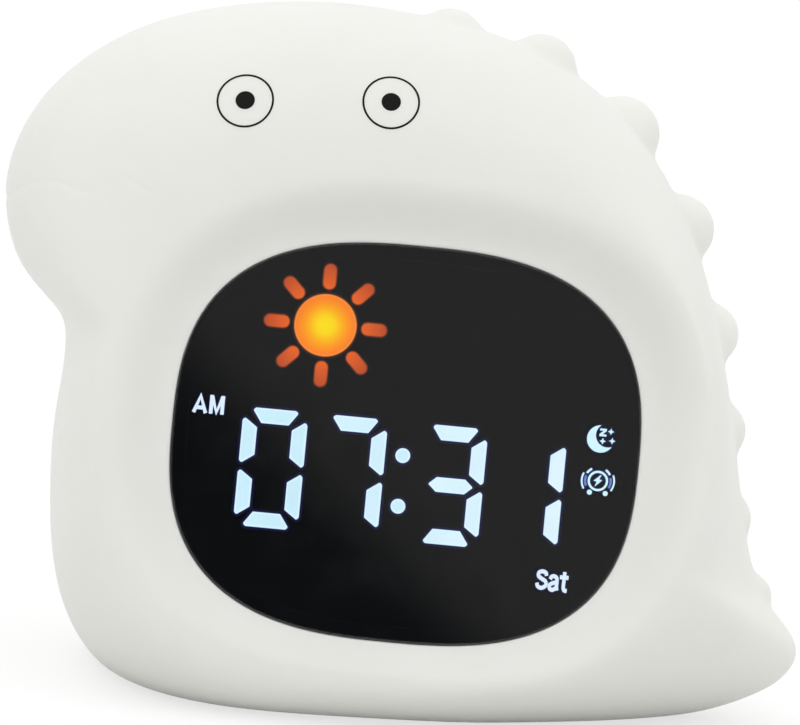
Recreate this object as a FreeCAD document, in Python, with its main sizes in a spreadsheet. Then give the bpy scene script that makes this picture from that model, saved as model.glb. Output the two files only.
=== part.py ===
import FreeCAD, Part
import math
import os
import Sketcher

# Kids alarm clock with a night light: a soft white dinosaur round a tilted dark display.
# Millimetres. X runs to the right as seen from the front, Y runs to the back, Z is up.
# The origin is under the middle of the body, on the surface that it stands on.

Vector = FreeCAD.Vector

# Driving dimensions: name, value, meaning
SIZES = [
    ("lens_centre_x", 1.0, "middle of the display lens, to the right of the body's middle"),
    ("lens_centre_y", -24.9, "middle of the display lens, in front of the body's middle"),
    ("lens_centre_z", 47.3, "height of the middle of the display lens"),
    ("lens_tilt", 12.0, "lean of the lens back from upright, in degrees"),
    ("lens_half_width", 38.5, "half the lens across"),
    ("lens_half_height", 32.65, "half the lens up its own slope"),
    ("lens_squareness", 2.71, "exponent of the lens outline, 2 for an ellipse"),
    ("lens_depth", 1.8, "thickness of the smoked lens"),
    ("fit_gap", 0.15, "side clearance of the lens and the rear cover in the skin"),
    ("seat_gap", 0.1, "clearance between stacked pieces that only rest near each other"),
    ("flange_gap", 0.35, "clearance between the skin's inside and the flanges under it"),
    ("skin_wall", 2.4, "thickness of the soft skin"),
    ("dish_width", 9.8, "width of the hollow ring round the lens, at its sides less the wave"),
    ("dish_rise_wave", 2.5, "how much wider the hollow ring is at the top than at the sides"),
    ("dish_side_wave", 1.1, "how much wider the hollow ring is at the sides than on the diagonals"),
    ("crest_height", 3.9, "height of the hollow ring's edge above the lens, at its sides"),
    ("crest_wave", 1.7, "how much higher that edge is at the top, and lower at the bottom"),
    ("ridge_depth", 30.1, "how far the body's outline lies behind the lens plane, level with its middle"),
    ("ridge_lean", 0.127, "how much nearer the outline comes for each millimetre up the slope"),
    ("ground_blend", 2.0, "half height over which the body's side turns into its flat base"),
    ("rear_centre_x", -2.0, "middle of the rear opening, across"),
    ("rear_centre_z", 50.0, "middle of the rear opening, up"),
    ("rear_half_width", 34.0, "half the rear opening across"),
    ("rear_half_height", 29.0, "half the rear opening up"),
    ("rear_corner", 21.0, "corner radius of the rear opening"),
    ("rear_panel_y", 31.5, "outer face of the rear cover"),
    ("rear_crest_rise", 3.0, "how far the skin stands behind the rear cover"),
    ("rear_crest_width", 7.5, "width of the skin's slope round the rear cover"),
    ("gasket_depth", 0.4, "foam ring between lens and frame"),
    ("gasket_width", 2.0, "width of the foam ring"),
    ("film_depth", 0.2, "printed film behind the lens"),
    ("well_depth", 8.1, "block of light wells behind the film"),
    ("board_depth", 1.6, "thickness of the display board and the main board"),
    ("tub_standoff", 2.2, "space behind the display board"),
    ("frame_wall", 2.0, "wall of the frame's tub and floor"),
    ("frame_flange", 4.5, "how far the frame's flange reaches under the skin, past the lens"),
    ("flange_depth", 2.2, "thickness of the flanges under the skin"),
    ("digit_width", 8.3, "distance between the upright strokes of a digit"),
    ("digit_height", 17.2, "distance between a digit's top and bottom strokes"),
    ("stroke_width", 2.4, "width of a digit's stroke"),
    ("stroke_gap", 0.6, "gap between neighbouring strokes, each side"),
    ("stroke_bevel", 1.4, "how much shorter a stroke's inner side is, at each end"),
    ("digit_pitch", 13.15, "distance between the digits of a pair"),
    ("pair_gap", 16.6, "distance between the inner digits"),
    ("digit_row_v", -6.1, "middle of the digits, up the slope"),
    ("digit_shift_u", -0.27, "middle of the four digits, across"),
    ("colon_radius", 1.2, "dot of the colon"),
    ("colon_pitch", 8.4, "distance between the colon's dots"),
    ("sun_u", -15.0, "middle of the sun, across"),
    ("sun_v", 18.3, "middle of the sun, up the slope"),
    ("sun_radius", 5.1, "disc of the sun"),
    ("ray_distance", 8.07, "middle of each ray from the middle of the sun"),
    ("ray_length", 4.2, "length of a ray"),
    ("ray_width", 2.0, "width of a ray"),
    ("sign_half", 2.8, "half size of the light window behind each small sign"),
    ("screw_shank", 1.3, "radius of the housing screws"),
    ("screw_head", 2.5, "radius of the housing screws' heads"),
    ("screw_head_depth", 1.6, "height of the housing screws' heads"),
    ("screw_length", 11.0, "housing screw under its head"),
    ("screw_inset_x", 12.0, "housing screws, in from the rear opening's sides"),
    ("screw_inset_z", 11.0, "housing screws, in from the rear opening's top and bottom"),
    ("boss_radius", 4.0, "rear cover's screw tubes"),
    ("boss_end", 3.5, "wall at the end of a screw tube, under the screw head"),
    ("post_radius", 3.6, "frame's screw posts"),
    ("joint_depth", 21.6, "where posts and screw tubes meet, in from the rear face"),
    ("small_shank", 0.95, "radius of the board screws"),
    ("small_head", 1.8, "radius of the board screws' heads"),
    ("small_head_depth", 1.1, "height of the board screws' heads"),
    ("small_length", 4.6, "board screw under its head"),
    ("standoff_radius", 2.4, "rear cover's tubes that carry the main board"),
    ("cover_face", 2.2, "thickness of the rear cover's face"),
    ("board_stand", 10.7, "main board's near face, in from the rear face"),
    ("key_radius", 3.5, "key cap"),
    ("key_pitch", 10.0, "distance between keys"),
    ("key_row", 9.0, "keys above the rear opening's middle"),
    ("key_proud", 1.5, "how far a key stands out of the rear face"),
    ("key_flange", 1.1, "how far a key's collar is wider than its cap"),
    ("key_travel", 0.5, "stroke of a key"),
    ("key_clearance", 0.3, "gap round a key cap in its hole"),
    ("switch_side", 6.0, "side of a key's switch"),
    ("switch_height", 3.4, "height of a key's switch on the board"),
    ("plunger_radius", 1.7, "plunger of a key's switch"),
    ("plunger_stand", 1.6, "how far the plunger stands out of its switch"),
    ("leg_inset", 11.25, "power slider, charging socket and board legs, in from the opening's sides"),
    ("leg_item_z", -1.0, "power slider and charging socket, from the rear opening's middle"),
    ("slider_travel", 2.5, "stroke of the power slider"),
    ("slider_width", 3.4, "ridge of the power slider, across"),
    ("slider_height", 2.4, "ridge of the power slider, up"),
    ("slider_case_width", 9.0, "power switch on the board"),
    ("slider_case_height", 4.2, "power switch on the board, up"),
    ("socket_width", 9.0, "charging socket's shell, across"),
    ("socket_height", 3.2, "charging socket's shell, up"),
    ("socket_sink", 0.5, "charging socket's mouth, in from the rear face"),
    ("speaker_z", -11.5, "middle of the speaker, from the rear opening's middle"),
    ("speaker_radius", 13.5, "speaker's frame"),
    ("speaker_depth", 4.2, "height of the speaker's frame"),
    ("magnet_radius", 7.5, "speaker's magnet"),
    ("magnet_depth", 3.8, "height of the speaker's magnet"),
    ("speaker_wall", 1.2, "ring wall round the speaker"),
    ("grille_hole", 0.8, "radius of a sound hole"),
    ("grille_pitch", 3.0, "distance between the rings of sound holes"),
    ("cell_radius", 9.2, "battery cell"),
    ("cell_length", 65.0, "battery cell"),
    ("cell_y", 8.0, "middle of the battery cell, back from the body's middle"),
    ("cell_z", 14.4, "middle of the battery cell, above the ground"),
    ("saddle_depth", 3.0, "thickness of the battery saddles"),
    ("saddle_span", 21.5, "battery saddles, each side of the rear opening's middle"),
    ("lamp_board_v", 36.0, "night light board, up the slope from the lens' middle"),
    ("lamp_board_width", 60.0, "night light board, across"),
    ("lamp_board_depth", 12.0, "night light board, front to back"),
    ("lamp_board_front", 5.0, "night light board's front edge, behind the lens plane"),
    ("lamp_board_wall", 1.2, "thickness of the night light board"),
    ("ribbon_slot_v", 7.0, "slot for the display ribbon in the frame's floor, up the slope"),
    ("shade_height", 8.0, "night light's diffusing cover"),
    ("shade_wall", 1.0, "wall of the diffusing cover"),
    ("wire_radius", 0.6, "internal leads"),
    ("led_side", 1.6, "small light on the display board"),
    ("led_height", 0.8, "height of a light on its board"),
    ("lamp_width", 3.4, "night light lamp on its board"),
    ("chip_width", 6.0, "control chips, across"),
    ("chip_length", 10.0, "control chips, along"),
    ("chip_height", 1.4, "control chips and ribbon sockets, height"),
    ("ribbon_width", 7.0, "display ribbon"),
    ("ribbon_depth", 0.3, "thickness of the display ribbon"),
    ("board_corner", 1.5, "corner radius of the boards"),
    ("leg_half", 5.25, "half width of the main board's legs"),
    ("board_gap", 1.2, "space round the main board beside tubes and the speaker"),
    ("slider_case_depth", 3.6, "power switch on the board, height"),
    ("lever_width", 1.4, "lever between power slider and power switch"),
    ("cover_flange", 4.0, "how far the rear cover's flange reaches under the skin"),
    ("cover_rim", 3.5, "thickness of the rear cover's rim"),
    ("pipe_radius", 1.0, "light pipe of the charging lamp"),
    ("plunger_hidden", 1.3, "how far a plunger reaches into its switch"),
    ("tap_radius", 2.2, "tap sensor"),
    ("foam_depth", 0.7, "foam ring under the speaker"),
    ("plug_depth", 5.5, "battery plug and its socket"),
    ("driver_chip_u", -16.0, "display's driver chip, across from the lens' middle"),
    ("clock_chip_step", 8.25, "clock chip's middle, in from the power slider's middle"),
    ("sound_chip_x", 10.5, "sound chip, across from the main board's middle"),
    ("ribbon_socket_depth", 3.0, "ribbon sockets, along the ribbon"),
    ("well_margin", 0.6, "least wall between a light well and the block's outside"),
    ("side_roundness", 2.1, "exponent of the skin's side profile, 2 being an ellipse"),
    ("tail_sharpness", 0.55, "how much of that the tail loses"),
    ("tail_direction", -25.0, "direction of the tail's tip from the lens' middle, in degrees"),
    ("tail_spread", 22.0, "spread of the sharper tail, in degrees"),
]

# Outline of the body on its middle plane, without the bumps: across and up the lens' slope
# from the lens' middle, anticlockwise from the bottom: tail, back, head, chin, chest
OUTLINE = [
    (0.0, -46.7), (16.0, -45.8), (25.0, -44.7), (36.0, -43.2), (48.4, -40.8), (56.0, -38.5),
    (61.9, -35.7), (66.2, -32.4), (67.9, -28.4), (66.5, -25.1), (62.6, -20.8), (58.8, -13.2),
    (55.6, 0.0), (52.2, 15.3), (47.5, 31.0), (38.8, 48.0), (25.0, 61.9), (8.2, 69.0),
    (-4.0, 71.0), (-19.2, 71.7), (-32.7, 70.2), (-46.4, 66.3), (-58.8, 58.8), (-67.2, 48.2),
    (-70.0, 37.1), (-69.0, 30.0), (-66.1, 23.6), (-61.8, 19.0), (-58.6, 15.4), (-57.7, 10.6),
    (-58.3, 0.0), (-58.2, -10.3), (-57.1, -20.8), (-54.2, -31.3), (-47.9, -40.2), (-38.0, -45.3),
    (-26.6, -47.2), (-13.0, -47.2),
]

# Bumps down the back: across, up the slope, radius
BUMPS = [
    (1.0, 66.8, 5.8), (16.4, 63.8, 6.0), (30.7, 54.5, 6.4), (41.7, 39.7, 5.9),
    (48.0, 22.9, 5.3), (51.0, 7.2, 5.0), (54.0, -7.2, 4.3), (59.3, -19.6, 3.6),
]

KEY_NAMES = ["set", "up", "down", "alarm", "light"]

LAMP_COUNT = 8

# Farther than any piece reaches, for cutting away all that lies on one side
PAST_EVERYTHING = 60.0

# Directions from the lens' middle in which the display screws lie, in degrees
DISPLAY_SCREW_ANGLES = [81.0, 201.0, 270.0, 21.0]


class Length:
    """A value together with the sheet formula that gives it."""

    def __init__(self, value, formula):
        self.value = float(value)
        self.formula = formula

    def __float__(self):
        return self.value

    def __add__(self, other):
        return Length(self.value + float(other), f"({self.formula} + {formula_of(other)})")

    def __radd__(self, other):
        return Length(float(other) + self.value, f"({formula_of(other)} + {self.formula})")

    def __sub__(self, other):
        return Length(self.value - float(other), f"({self.formula} - {formula_of(other)})")

    def __rsub__(self, other):
        return Length(float(other) - self.value, f"({formula_of(other)} - {self.formula})")

    def __mul__(self, other):
        return Length(self.value * float(other), f"({self.formula} * {formula_of(other)})")

    def __rmul__(self, other):
        return self * other

    def __truediv__(self, other):
        return Length(self.value / float(other), f"({self.formula} / {formula_of(other)})")

    def __neg__(self):
        return self * -1


def formula_of(number):
    if isinstance(number, Length):
        return number.formula
    return f"({float(number):.6f})"


doc = FreeCAD.newDocument("DinosaurClock")
sheet = doc.addObject("Spreadsheet::Sheet", "Sizes")


class Sizes:
    """Every driving dimension by name."""


size = Sizes()
for row, (name, value, meaning) in enumerate(SIZES, start=1):
    sheet.set(f"A{row}", meaning)
    sheet.set(f"B{row}", str(value))
    sheet.setAlias(f"B{row}", name)
    setattr(size, name, Length(value, f"Sizes.{name}"))
doc.recompute()

nodes = {}


def keep(label, item):
    """Label an object and note it as one of the clock's pieces."""
    item.Label = label
    nodes[label] = item
    return item


def bind(item, path, length):
    if isinstance(length, Length):
        item.setExpression(path, length.formula)


# Frames in which the pieces are built
def lens_frame(u=0.0, v=0.0, w=0.0):
    """Placement on the lens: local X across, Y up the slope, Z out towards the viewer."""
    turn = FreeCAD.Rotation(Vector(1, 0, 0), 90 - float(size.lens_tilt))
    return FreeCAD.Placement(on_lens(u, v, w), turn)


def on_lens(u, v, w):
    """Point given across, up the slope and out of the lens plane."""
    lean = math.radians(float(size.lens_tilt))
    y = float(size.lens_centre_y) + float(v) * math.sin(lean) - float(w) * math.cos(lean)
    z = float(size.lens_centre_z) + float(v) * math.cos(lean) + float(w) * math.sin(lean)
    return Vector(float(size.lens_centre_x) + float(u), y, z)


def rear_frame(x=0.0, z=0.0, inward=0.0):
    """Placement on the rear face: local X across, Y up, Z into the clock."""
    turn = FreeCAD.Rotation(Vector(1, 0, 0), 90)
    return FreeCAD.Placement(on_rear(x, z, inward), turn)


def on_rear(x, z, inward):
    """Point given across, up and in from the middle of the rear face."""
    return Vector(
        float(size.rear_centre_x) + float(x),
        float(size.rear_panel_y) - float(inward),
        float(size.rear_centre_z) + float(z),
    )


# Sketches and features
def new_body(label):
    body = doc.addObject("PartDesign::Body", label)
    body.AllowCompound = True
    return keep(label, body)


def sketch_on(body, name, role="XY_Plane", lift=0.0):
    sketch = body.newObject("Sketcher::SketchObject", name)
    plane = [item for item in body.Origin.OriginFeatures if item.Role == role][0]
    sketch.AttachmentSupport = [(plane, "")]
    sketch.MapMode = "FlatFace"
    sketch.AttachmentOffset = FreeCAD.Placement(Vector(0, 0, float(lift)), FreeCAD.Rotation())
    bind(sketch, ".AttachmentOffset.Base.z", lift)
    return sketch


def fix_point(sketch, curve, end, x, y):
    """Hold one end of a curve at a place worked out from the sizes."""
    for direction, distance in (("DistanceX", x), ("DistanceY", y)):
        number = sketch.addConstraint(
            Sketcher.Constraint(direction, -1, 1, curve, end, float(distance))
        )
        bind(sketch, f"Constraints[{number}]", distance)


def add_polygon(sketch, corners):
    first = sketch.GeometryCount
    count = len(corners)
    spots = [Vector(float(x), float(y), 0) for x, y in corners]
    for place in range(count):
        sketch.addGeometry(Part.LineSegment(spots[place], spots[(place + 1) % count]))
    for place in range(count):
        following = first + (place + 1) % count
        sketch.addConstraint(Sketcher.Constraint("Coincident", first + place, 2, following, 1))
    for place, (x, y) in enumerate(corners):
        fix_point(sketch, first + place, 1, x, y)


def add_rectangle(sketch, width, height, x=0.0, y=0.0):
    add_polygon(sketch, [
        (x - width / 2, y - height / 2), (x + width / 2, y - height / 2),
        (x + width / 2, y + height / 2), (x - width / 2, y + height / 2),
    ])


def add_circle(sketch, radius, x=0.0, y=0.0):
    middle = Vector(float(x), float(y), 0)
    curve = sketch.addGeometry(Part.Circle(middle, Vector(0, 0, 1), float(radius)))
    number = sketch.addConstraint(Sketcher.Constraint("Radius", curve, float(radius)))
    bind(sketch, f"Constraints[{number}]", radius)
    fix_point(sketch, curve, 3, x, y)


def add_rounded(sketch, width, height, radius, x=0.0, y=0.0):
    """Rectangle with round corners: straight sides and quarter arcs."""
    half_x, half_y = width / 2, height / 2
    in_x, in_y = width / 2 - radius, height / 2 - radius
    ends = [
        ((x - in_x, y - half_y), (x + in_x, y - half_y)),
        ((x + half_x, y - in_y), (x + half_x, y + in_y)),
        ((x + in_x, y + half_y), (x - in_x, y + half_y)),
        ((x - half_x, y + in_y), (x - half_x, y - in_y)),
    ]
    middles = [(x + in_x, y - in_y), (x + in_x, y + in_y), (x - in_x, y + in_y), (x - in_x, y - in_y)]
    sides = []
    for start, end in ends:
        line = Part.LineSegment(
            Vector(float(start[0]), float(start[1]), 0), Vector(float(end[0]), float(end[1]), 0)
        )
        side = sketch.addGeometry(line)
        fix_point(sketch, side, 1, *start)
        fix_point(sketch, side, 2, *end)
        sides.append(side)
    for corner, middle in enumerate(middles):
        circle = Part.Circle(Vector(float(middle[0]), float(middle[1]), 0), Vector(0, 0, 1), float(radius))
        turn = (corner - 1) * math.pi / 2
        arc = sketch.addGeometry(Part.ArcOfCircle(circle, turn, turn + math.pi / 2))
        following = sides[(corner + 1) % 4]
        sketch.addConstraint(Sketcher.Constraint("Coincident", arc, 1, sides[corner], 2))
        sketch.addConstraint(Sketcher.Constraint("Coincident", arc, 2, following, 1))
        number = sketch.addConstraint(Sketcher.Constraint("Radius", arc, float(radius)))
        bind(sketch, f"Constraints[{number}]", radius)


def extrude(body, kind, name, sketch, length, reverse=False):
    feature = body.newObject(kind, name)
    feature.Profile = sketch
    feature.Length = float(length)
    bind(feature, "Length", length)
    feature.Reversed = reverse
    body.Tip = feature
    return feature


def pad(body, sketch, length):
    return extrude(body, "PartDesign::Pad", sketch.Name + "Pad", sketch, length)


def pocket(body, sketch, length):
    """Cut towards local +Z, and make sure that it cuts."""
    doc.recompute()
    before = body.Shape.Volume
    feature = extrude(body, "PartDesign::Pocket", sketch.Name + "Pocket", sketch, length, True)
    doc.recompute()
    if body.Shape.Volume >= before:
        raise ValueError(f"{sketch.Name} cuts nothing")
    return feature


def revolve(body, name, corners):
    """Turn a profile of radius and height round local Z."""
    sketch = sketch_on(body, name, "XZ_Plane")
    add_polygon(sketch, corners)
    feature = body.newObject("PartDesign::Revolution", name + "Turn")
    feature.Profile = sketch
    feature.ReferenceAxis = (sketch, ["V_Axis"])
    feature.Angle = 360
    body.Tip = feature
    return feature


def block(label, frame, width, height, depth, x=0.0, y=0.0, low=0.0):
    """Plain padded rectangle from local height low."""
    body = new_body(label)
    sketch = sketch_on(body, label + "Outline", lift=low)
    add_rectangle(sketch, width, height, x, y)
    pad(body, sketch, depth)
    body.Placement = frame
    return body


def shaped(label, shape, placement=None):
    """Piece whose curved shape is worked out here."""
    item = doc.addObject("Part::Feature", label)
    item.Shape = shape
    if placement is not None:
        item.Placement = placement
    return keep(label, item)


def scatter(label, piece, placements):
    """Copies of one piece as a group of separate solids."""
    doc.recompute()
    nodes.pop(piece.Label, None)
    piece.Label = piece.Label + "_pattern"
    copies = []
    for placement in placements:
        copy = piece.Shape.copy()
        copy.Placement = placement
        copies.append(copy)
    return shaped(label, Part.makeCompound(copies))


# The lens outline, and the stack of pieces that share it
def oval_reach(angle, half_width, half_height):
    """Distance from the middle to a rounded outline, in a direction."""
    power = float(size.lens_squareness)
    across = abs(math.cos(angle)) / float(half_width)
    up = abs(math.sin(angle)) / float(half_height)
    return (across ** power + up ** power) ** (-1 / power)


def lens_reach(angle, outset=0.0):
    return oval_reach(angle, size.lens_half_width + outset, size.lens_half_height + outset)


def lens_slab(outset, low, high):
    """Slab with the lens outline, grown by outset, between two local heights."""
    steps = 48
    points = []
    for step in range(steps):
        angle = 2 * math.pi * step / steps
        reach = lens_reach(angle, outset)
        points.append(Vector(reach * math.cos(angle), reach * math.sin(angle), float(low)))
    curve = Part.BSplineCurve()
    curve.interpolate(Points=points, PeriodicFlag=True)
    face = Part.Face(Part.Wire([curve.toShape()]))
    return face.extrude(Vector(0, 0, float(high) - float(low)))


def lens_ring(outset, inset, low, high):
    return lens_slab(outset, low, high).cut(lens_slab(inset, low - 1.0, high + 1.0))


seat_top = -(size.lens_depth + size.gasket_depth)
well_top = -(size.lens_depth + size.film_depth + size.seat_gap)
board_top = well_top - size.well_depth
board_low = board_top - size.board_depth
tub_floor = board_low - size.tub_standoff
tub_back = tub_floor - size.frame_wall
skin_back = -(size.skin_wall + size.flange_gap)
seat_width = size.gasket_width + size.fit_gap + size.seat_gap
tub_inner = -(seat_width + 0.75)
tub_outer = tub_inner + size.frame_wall
block_outer = tub_inner - size.fit_gap


def display_screw_places():
    """Where the display screws stand: just inside the tub's wall, between the signs."""
    places = []
    for angle in DISPLAY_SCREW_ANGLES:
        direction = math.radians(angle)
        reach = lens_reach(direction, tub_inner) - float(size.small_head) - 1.7
        places.append((reach * math.cos(direction), reach * math.sin(direction)))
    return places


def cylinder(radius, low, high, u=0.0, v=0.0):
    return Part.makeCylinder(float(radius), float(high) - float(low), Vector(float(u), float(v), float(low)))


# Light wells: strokes of the digits, the colon, the sun and the small signs
def stroke_outline(length, kind):
    """Stroke lying along X: pointed at both ends, or a long outer side above a short inner one."""
    tip = float(length) / 2 - float(size.stroke_gap)
    wide, bevel = float(size.stroke_width) / 2, float(size.stroke_bevel)
    if kind == "pointed":
        return [
            (-tip, 0), (bevel - tip, -wide), (tip - bevel, -wide),
            (tip, 0), (tip - bevel, wide), (bevel - tip, wide),
        ]
    return [(-tip, wide), (bevel - tip, -wide), (tip - bevel, -wide), (tip, wide)]


def stroke_prism(corners, middle, turn, low, high):
    """Stroke turned in quarter turns and moved to its middle."""
    angle = math.radians(turn)
    points = []
    for x, y in corners + corners[:1]:
        points.append(Vector(
            middle[0] + x * math.cos(angle) - y * math.sin(angle),
            middle[1] + x * math.sin(angle) + y * math.cos(angle),
            float(low),
        ))
    return Part.Face(Part.makePolygon(points)).extrude(Vector(0, 0, float(high) - float(low)))


def digit_wells(middle_u, low, high):
    """The seven strokes of one digit."""
    width, height = float(size.digit_width), float(size.digit_height)
    row = float(size.digit_row_v)
    flat = stroke_outline(width, "outer")
    upright = stroke_outline(height / 2, "outer")
    wells = [
        stroke_prism(flat, (middle_u, row + height / 2), 0, low, high),
        stroke_prism(flat, (middle_u, row - height / 2), 180, low, high),
        stroke_prism(stroke_outline(width, "pointed"), (middle_u, row), 0, low, high),
    ]
    for side, turn in ((-1, 90), (1, 270)):
        for level in (-1, 1):
            middle = (middle_u + side * width / 2, row + level * height / 4)
            wells.append(stroke_prism(upright, middle, turn, low, high))
    return wells


def digit_middles():
    half_gap, pitch = float(size.pair_gap) / 2, float(size.digit_pitch)
    shift = float(size.digit_shift_u)
    return [shift + place for place in (-half_gap - pitch, -half_gap, half_gap, half_gap + pitch)]


def sun_wells(low, high, inside):
    middle = (float(size.sun_u), float(size.sun_v))
    wells = [cylinder(size.sun_radius, low, high, *middle)]
    half, wide = float(size.ray_length) / 2, float(size.ray_width) / 2
    bar = [(-half, -wide), (half, -wide), (half, wide), (-half, wide)]
    for step in range(8):
        turn = 45.0 * step
        angle = math.radians(turn)
        place = (
            middle[0] + float(size.ray_distance) * math.cos(angle),
            middle[1] + float(size.ray_distance) * math.sin(angle),
        )
        wells.append(stroke_prism(bar, place, turn, low, high).common(inside))
    return wells


def sign_places():
    """Middles of the small signs: half day, weekday, sleep and alarm, set off from the digits."""
    left, right = digit_middles()[0], digit_middles()[3]
    row, reach = float(size.digit_row_v), float(size.digit_width) / 2 + float(size.stroke_width) / 2
    return [
        (left - reach - 5.9, row + 9.6), (right + reach - 0.3, row - 14.2),
        (right + reach + 5.2, row + 9.9), (right + reach + 5.6, row + 3.3),
    ]


def sign_wells(low, high, inside):
    half = float(size.sign_half)
    square = [(-half, -half), (half, -half), (half, half), (-half, half)]
    return [stroke_prism(square, place, 0, low, high).common(inside) for place in sign_places()]


def all_wells(low, high, slack):
    """Every light well, kept inside the block's wall, or the inserts with some slack in them."""
    inside = lens_slab(block_outer - size.well_margin - slack, low, high)
    wells = sun_wells(low, high, inside) + sign_wells(low, high, inside)
    for middle in digit_middles():
        wells += digit_wells(middle, low, high)
    for level in (-1, 1):
        height = float(size.digit_row_v) + level * float(size.colon_pitch) / 2
        wells.append(cylinder(size.colon_radius, low, high, float(size.digit_shift_u), height))
    return wells


def make_display():
    shaped("display_lens", lens_slab(0.0, -size.lens_depth, 0.0), lens_frame())
    ring = lens_ring(-size.fit_gap - size.seat_gap, -seat_width, seat_top, -size.lens_depth)
    shaped("lens_gasket", ring, lens_frame())
    film_low = -(size.lens_depth + size.film_depth)
    film = lens_slab(-(seat_width + size.fit_gap), film_low, -size.lens_depth)
    shaped("legend_film", film, lens_frame())

    well_block = lens_slab(block_outer, board_top, well_top)
    screw_access = size.small_head + 0.6
    tools = [cylinder(screw_access, board_top - 1, well_top + 1, *place) for place in display_screw_places()]
    well_block = well_block.cut(tools + all_wells(board_top - 1, well_top + 1, 0.0))
    shaped("light_well_block", well_block, lens_frame())
    inserts = all_wells(board_top + size.led_height + 0.3, well_top - 0.2, 0.1)
    shaped("legend_diffusers", Part.makeCompound(inserts), lens_frame())

    holes = [cylinder(size.small_shank + 0.05, board_low - 1, board_top + 1, *place)
             for place in display_screw_places()]
    shaped("display_board", lens_slab(block_outer, board_low, board_top).cut(holes), lens_frame())
    make_display_parts()


def make_display_parts():
    led = block("display_led", FreeCAD.Placement(), size.led_side, size.led_side * 0.6, size.led_height)
    places = [(float(size.sun_u), float(size.sun_v))] + sign_places()
    half_width, quarter = float(size.digit_width) / 2, float(size.digit_height) / 4
    row = float(size.digit_row_v)
    for middle in digit_middles():
        places += [(middle, row + level * quarter) for level in (2, 0, -2)]
        for side in (-1, 1):
            places += [(middle + side * half_width, row + level * quarter) for level in (-1, 1)]
    scatter("display_leds", led, [lens_frame(u, v, board_top) for u, v in places])

    low = board_low - size.chip_height
    under = lens_frame(0, 0, low)
    block("display_driver_chip", under, size.chip_width, size.chip_length, size.chip_height,
          size.driver_chip_u)
    block("display_ribbon_socket", under, size.ribbon_width + 3, size.ribbon_socket_depth, size.chip_height,
          ribbon_u(), size.ribbon_slot_v + 4.5)
    screw_group("display_board_screws", [
        lens_frame(*place, board_top) for place in display_screw_places()
    ])


def ribbon_u():
    """The ribbon runs behind the rear opening's middle."""
    return size.rear_centre_x - size.lens_centre_x


def screw_group(label, placements, head=None, shank=None, length=None, head_depth=None):
    """Cross-head screws, each at its own placement, heads standing up in local Z."""
    head = head or size.small_head
    shank = shank or size.small_shank
    length = length or size.small_length
    head_depth = head_depth or size.small_head_depth
    body = new_body(label + "_one")
    revolve(body, label + "Side", [
        (0.0, -length), (shank * 0.4, -length), (shank, shank - length), (shank, 0.0),
        (head, 0.0), (head, head_depth * 0.6), (head * 0.72, head_depth), (0.0, head_depth),
    ])
    cross = sketch_on(body, label + "Cross", lift=head_depth * 0.35)
    arm, half = head * 0.55, head * 0.13
    add_polygon(cross, [
        (arm, -half), (arm, half), (half, half), (half, arm), (-half, arm), (-half, half),
        (-arm, half), (-arm, -half), (-half, -half), (-half, -arm), (half, -arm), (half, -half),
    ])
    pocket(body, cross, head_depth)
    return scatter(label, body, placements)


# The frame behind the lens: flange, tub with floor, posts and brackets
def make_front_frame():
    flange = lens_ring(size.frame_flange, tub_inner, skin_back - size.flange_depth, skin_back)
    seat = lens_ring(-size.fit_gap - size.seat_gap, tub_inner, skin_back, seat_top)
    wall = lens_ring(tub_outer, tub_inner, tub_back, skin_back - 0.5)
    floor = lens_slab(tub_outer, tub_back, tub_floor)
    parts = [seat, wall, floor]
    for place in display_screw_places():
        parts.append(cylinder(size.small_shank + 1.6, tub_back, board_low, *place))
    for side in (-1, 1):
        parts.append(lamp_bracket(side))
    parts += [post(side, level) for side in (-1, 1) for level in (-1, 1)]
    frame = flange.fuse(parts)
    tools = [cylinder(size.small_shank + 0.05, board_top - size.small_length - 0.6, board_top, *place)
             for place in display_screw_places()]
    slot = Part.makeBox(
        float(size.ribbon_width) + 2, 4.0, 6.0,
        Vector(
            float(ribbon_u() - size.ribbon_width / 2) - 1, float(size.ribbon_slot_v) - 2, float(tub_back) - 2,
        ),
    )
    tools.append(slot)
    tools += [lamp_screw_hole(side) for side in (-1, 1)]
    tools += [post_hole(side, level) for side in (-1, 1) for level in (-1, 1)]
    shaped("front_frame", frame.cut(tools).removeSplitter(), lens_frame())


def in_lens_frame(shape):
    """A shape placed in the clock, seen from the lens' frame."""
    shape.transformShape(lens_frame().toMatrix().inverse())
    return shape


def screw_place(side, level, inward):
    return on_rear(side * float(screw_x), level * float(screw_z), inward)


def post(side, level):
    """Screw post from the frame's floor straight back to the rear cover's tube."""
    end = screw_place(side, level, size.joint_depth + size.seat_gap)
    reach = end.y - float(size.lens_centre_y)
    whole = Part.makeCylinder(float(size.post_radius), reach, end, Vector(0, -1, 0))
    front = lens_slab(PAST_EVERYTHING, tub_back + 1.0, PAST_EVERYTHING)
    return in_lens_frame(whole).cut(front)


def post_hole(side, level):
    end = screw_place(side, level, size.joint_depth)
    depth = float(size.screw_length - size.boss_end) + 1.0
    return in_lens_frame(Part.makeCylinder(float(size.screw_shank) + 0.05, depth, end, Vector(0, -1, 0)))


def lamp_pitch():
    return (size.lamp_board_width - 2 * size.lamp_width) / (LAMP_COUNT - 1)


def bracket_u():
    """Brackets and their screws stand midway between two lamps."""
    return 2 * lamp_pitch()


def lamp_bracket(side):
    """Block on the tub's wall that carries the night light board."""
    low = float(size.lens_half_height + tub_inner) * 0.97
    width, depth = 7.0, float(size.lamp_board_depth)
    corner = Vector(
        side * float(bracket_u()) - width / 2, low, -float(size.lamp_board_front) - depth
    )
    return Part.makeBox(width, float(size.lamp_board_v) - low, depth, corner).cut(
        lens_slab(tub_inner + 0.5, tub_back - 1, 1.0)
    )


def lamp_middle_w():
    return -(size.lamp_board_front + size.lamp_board_depth / 2)


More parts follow.
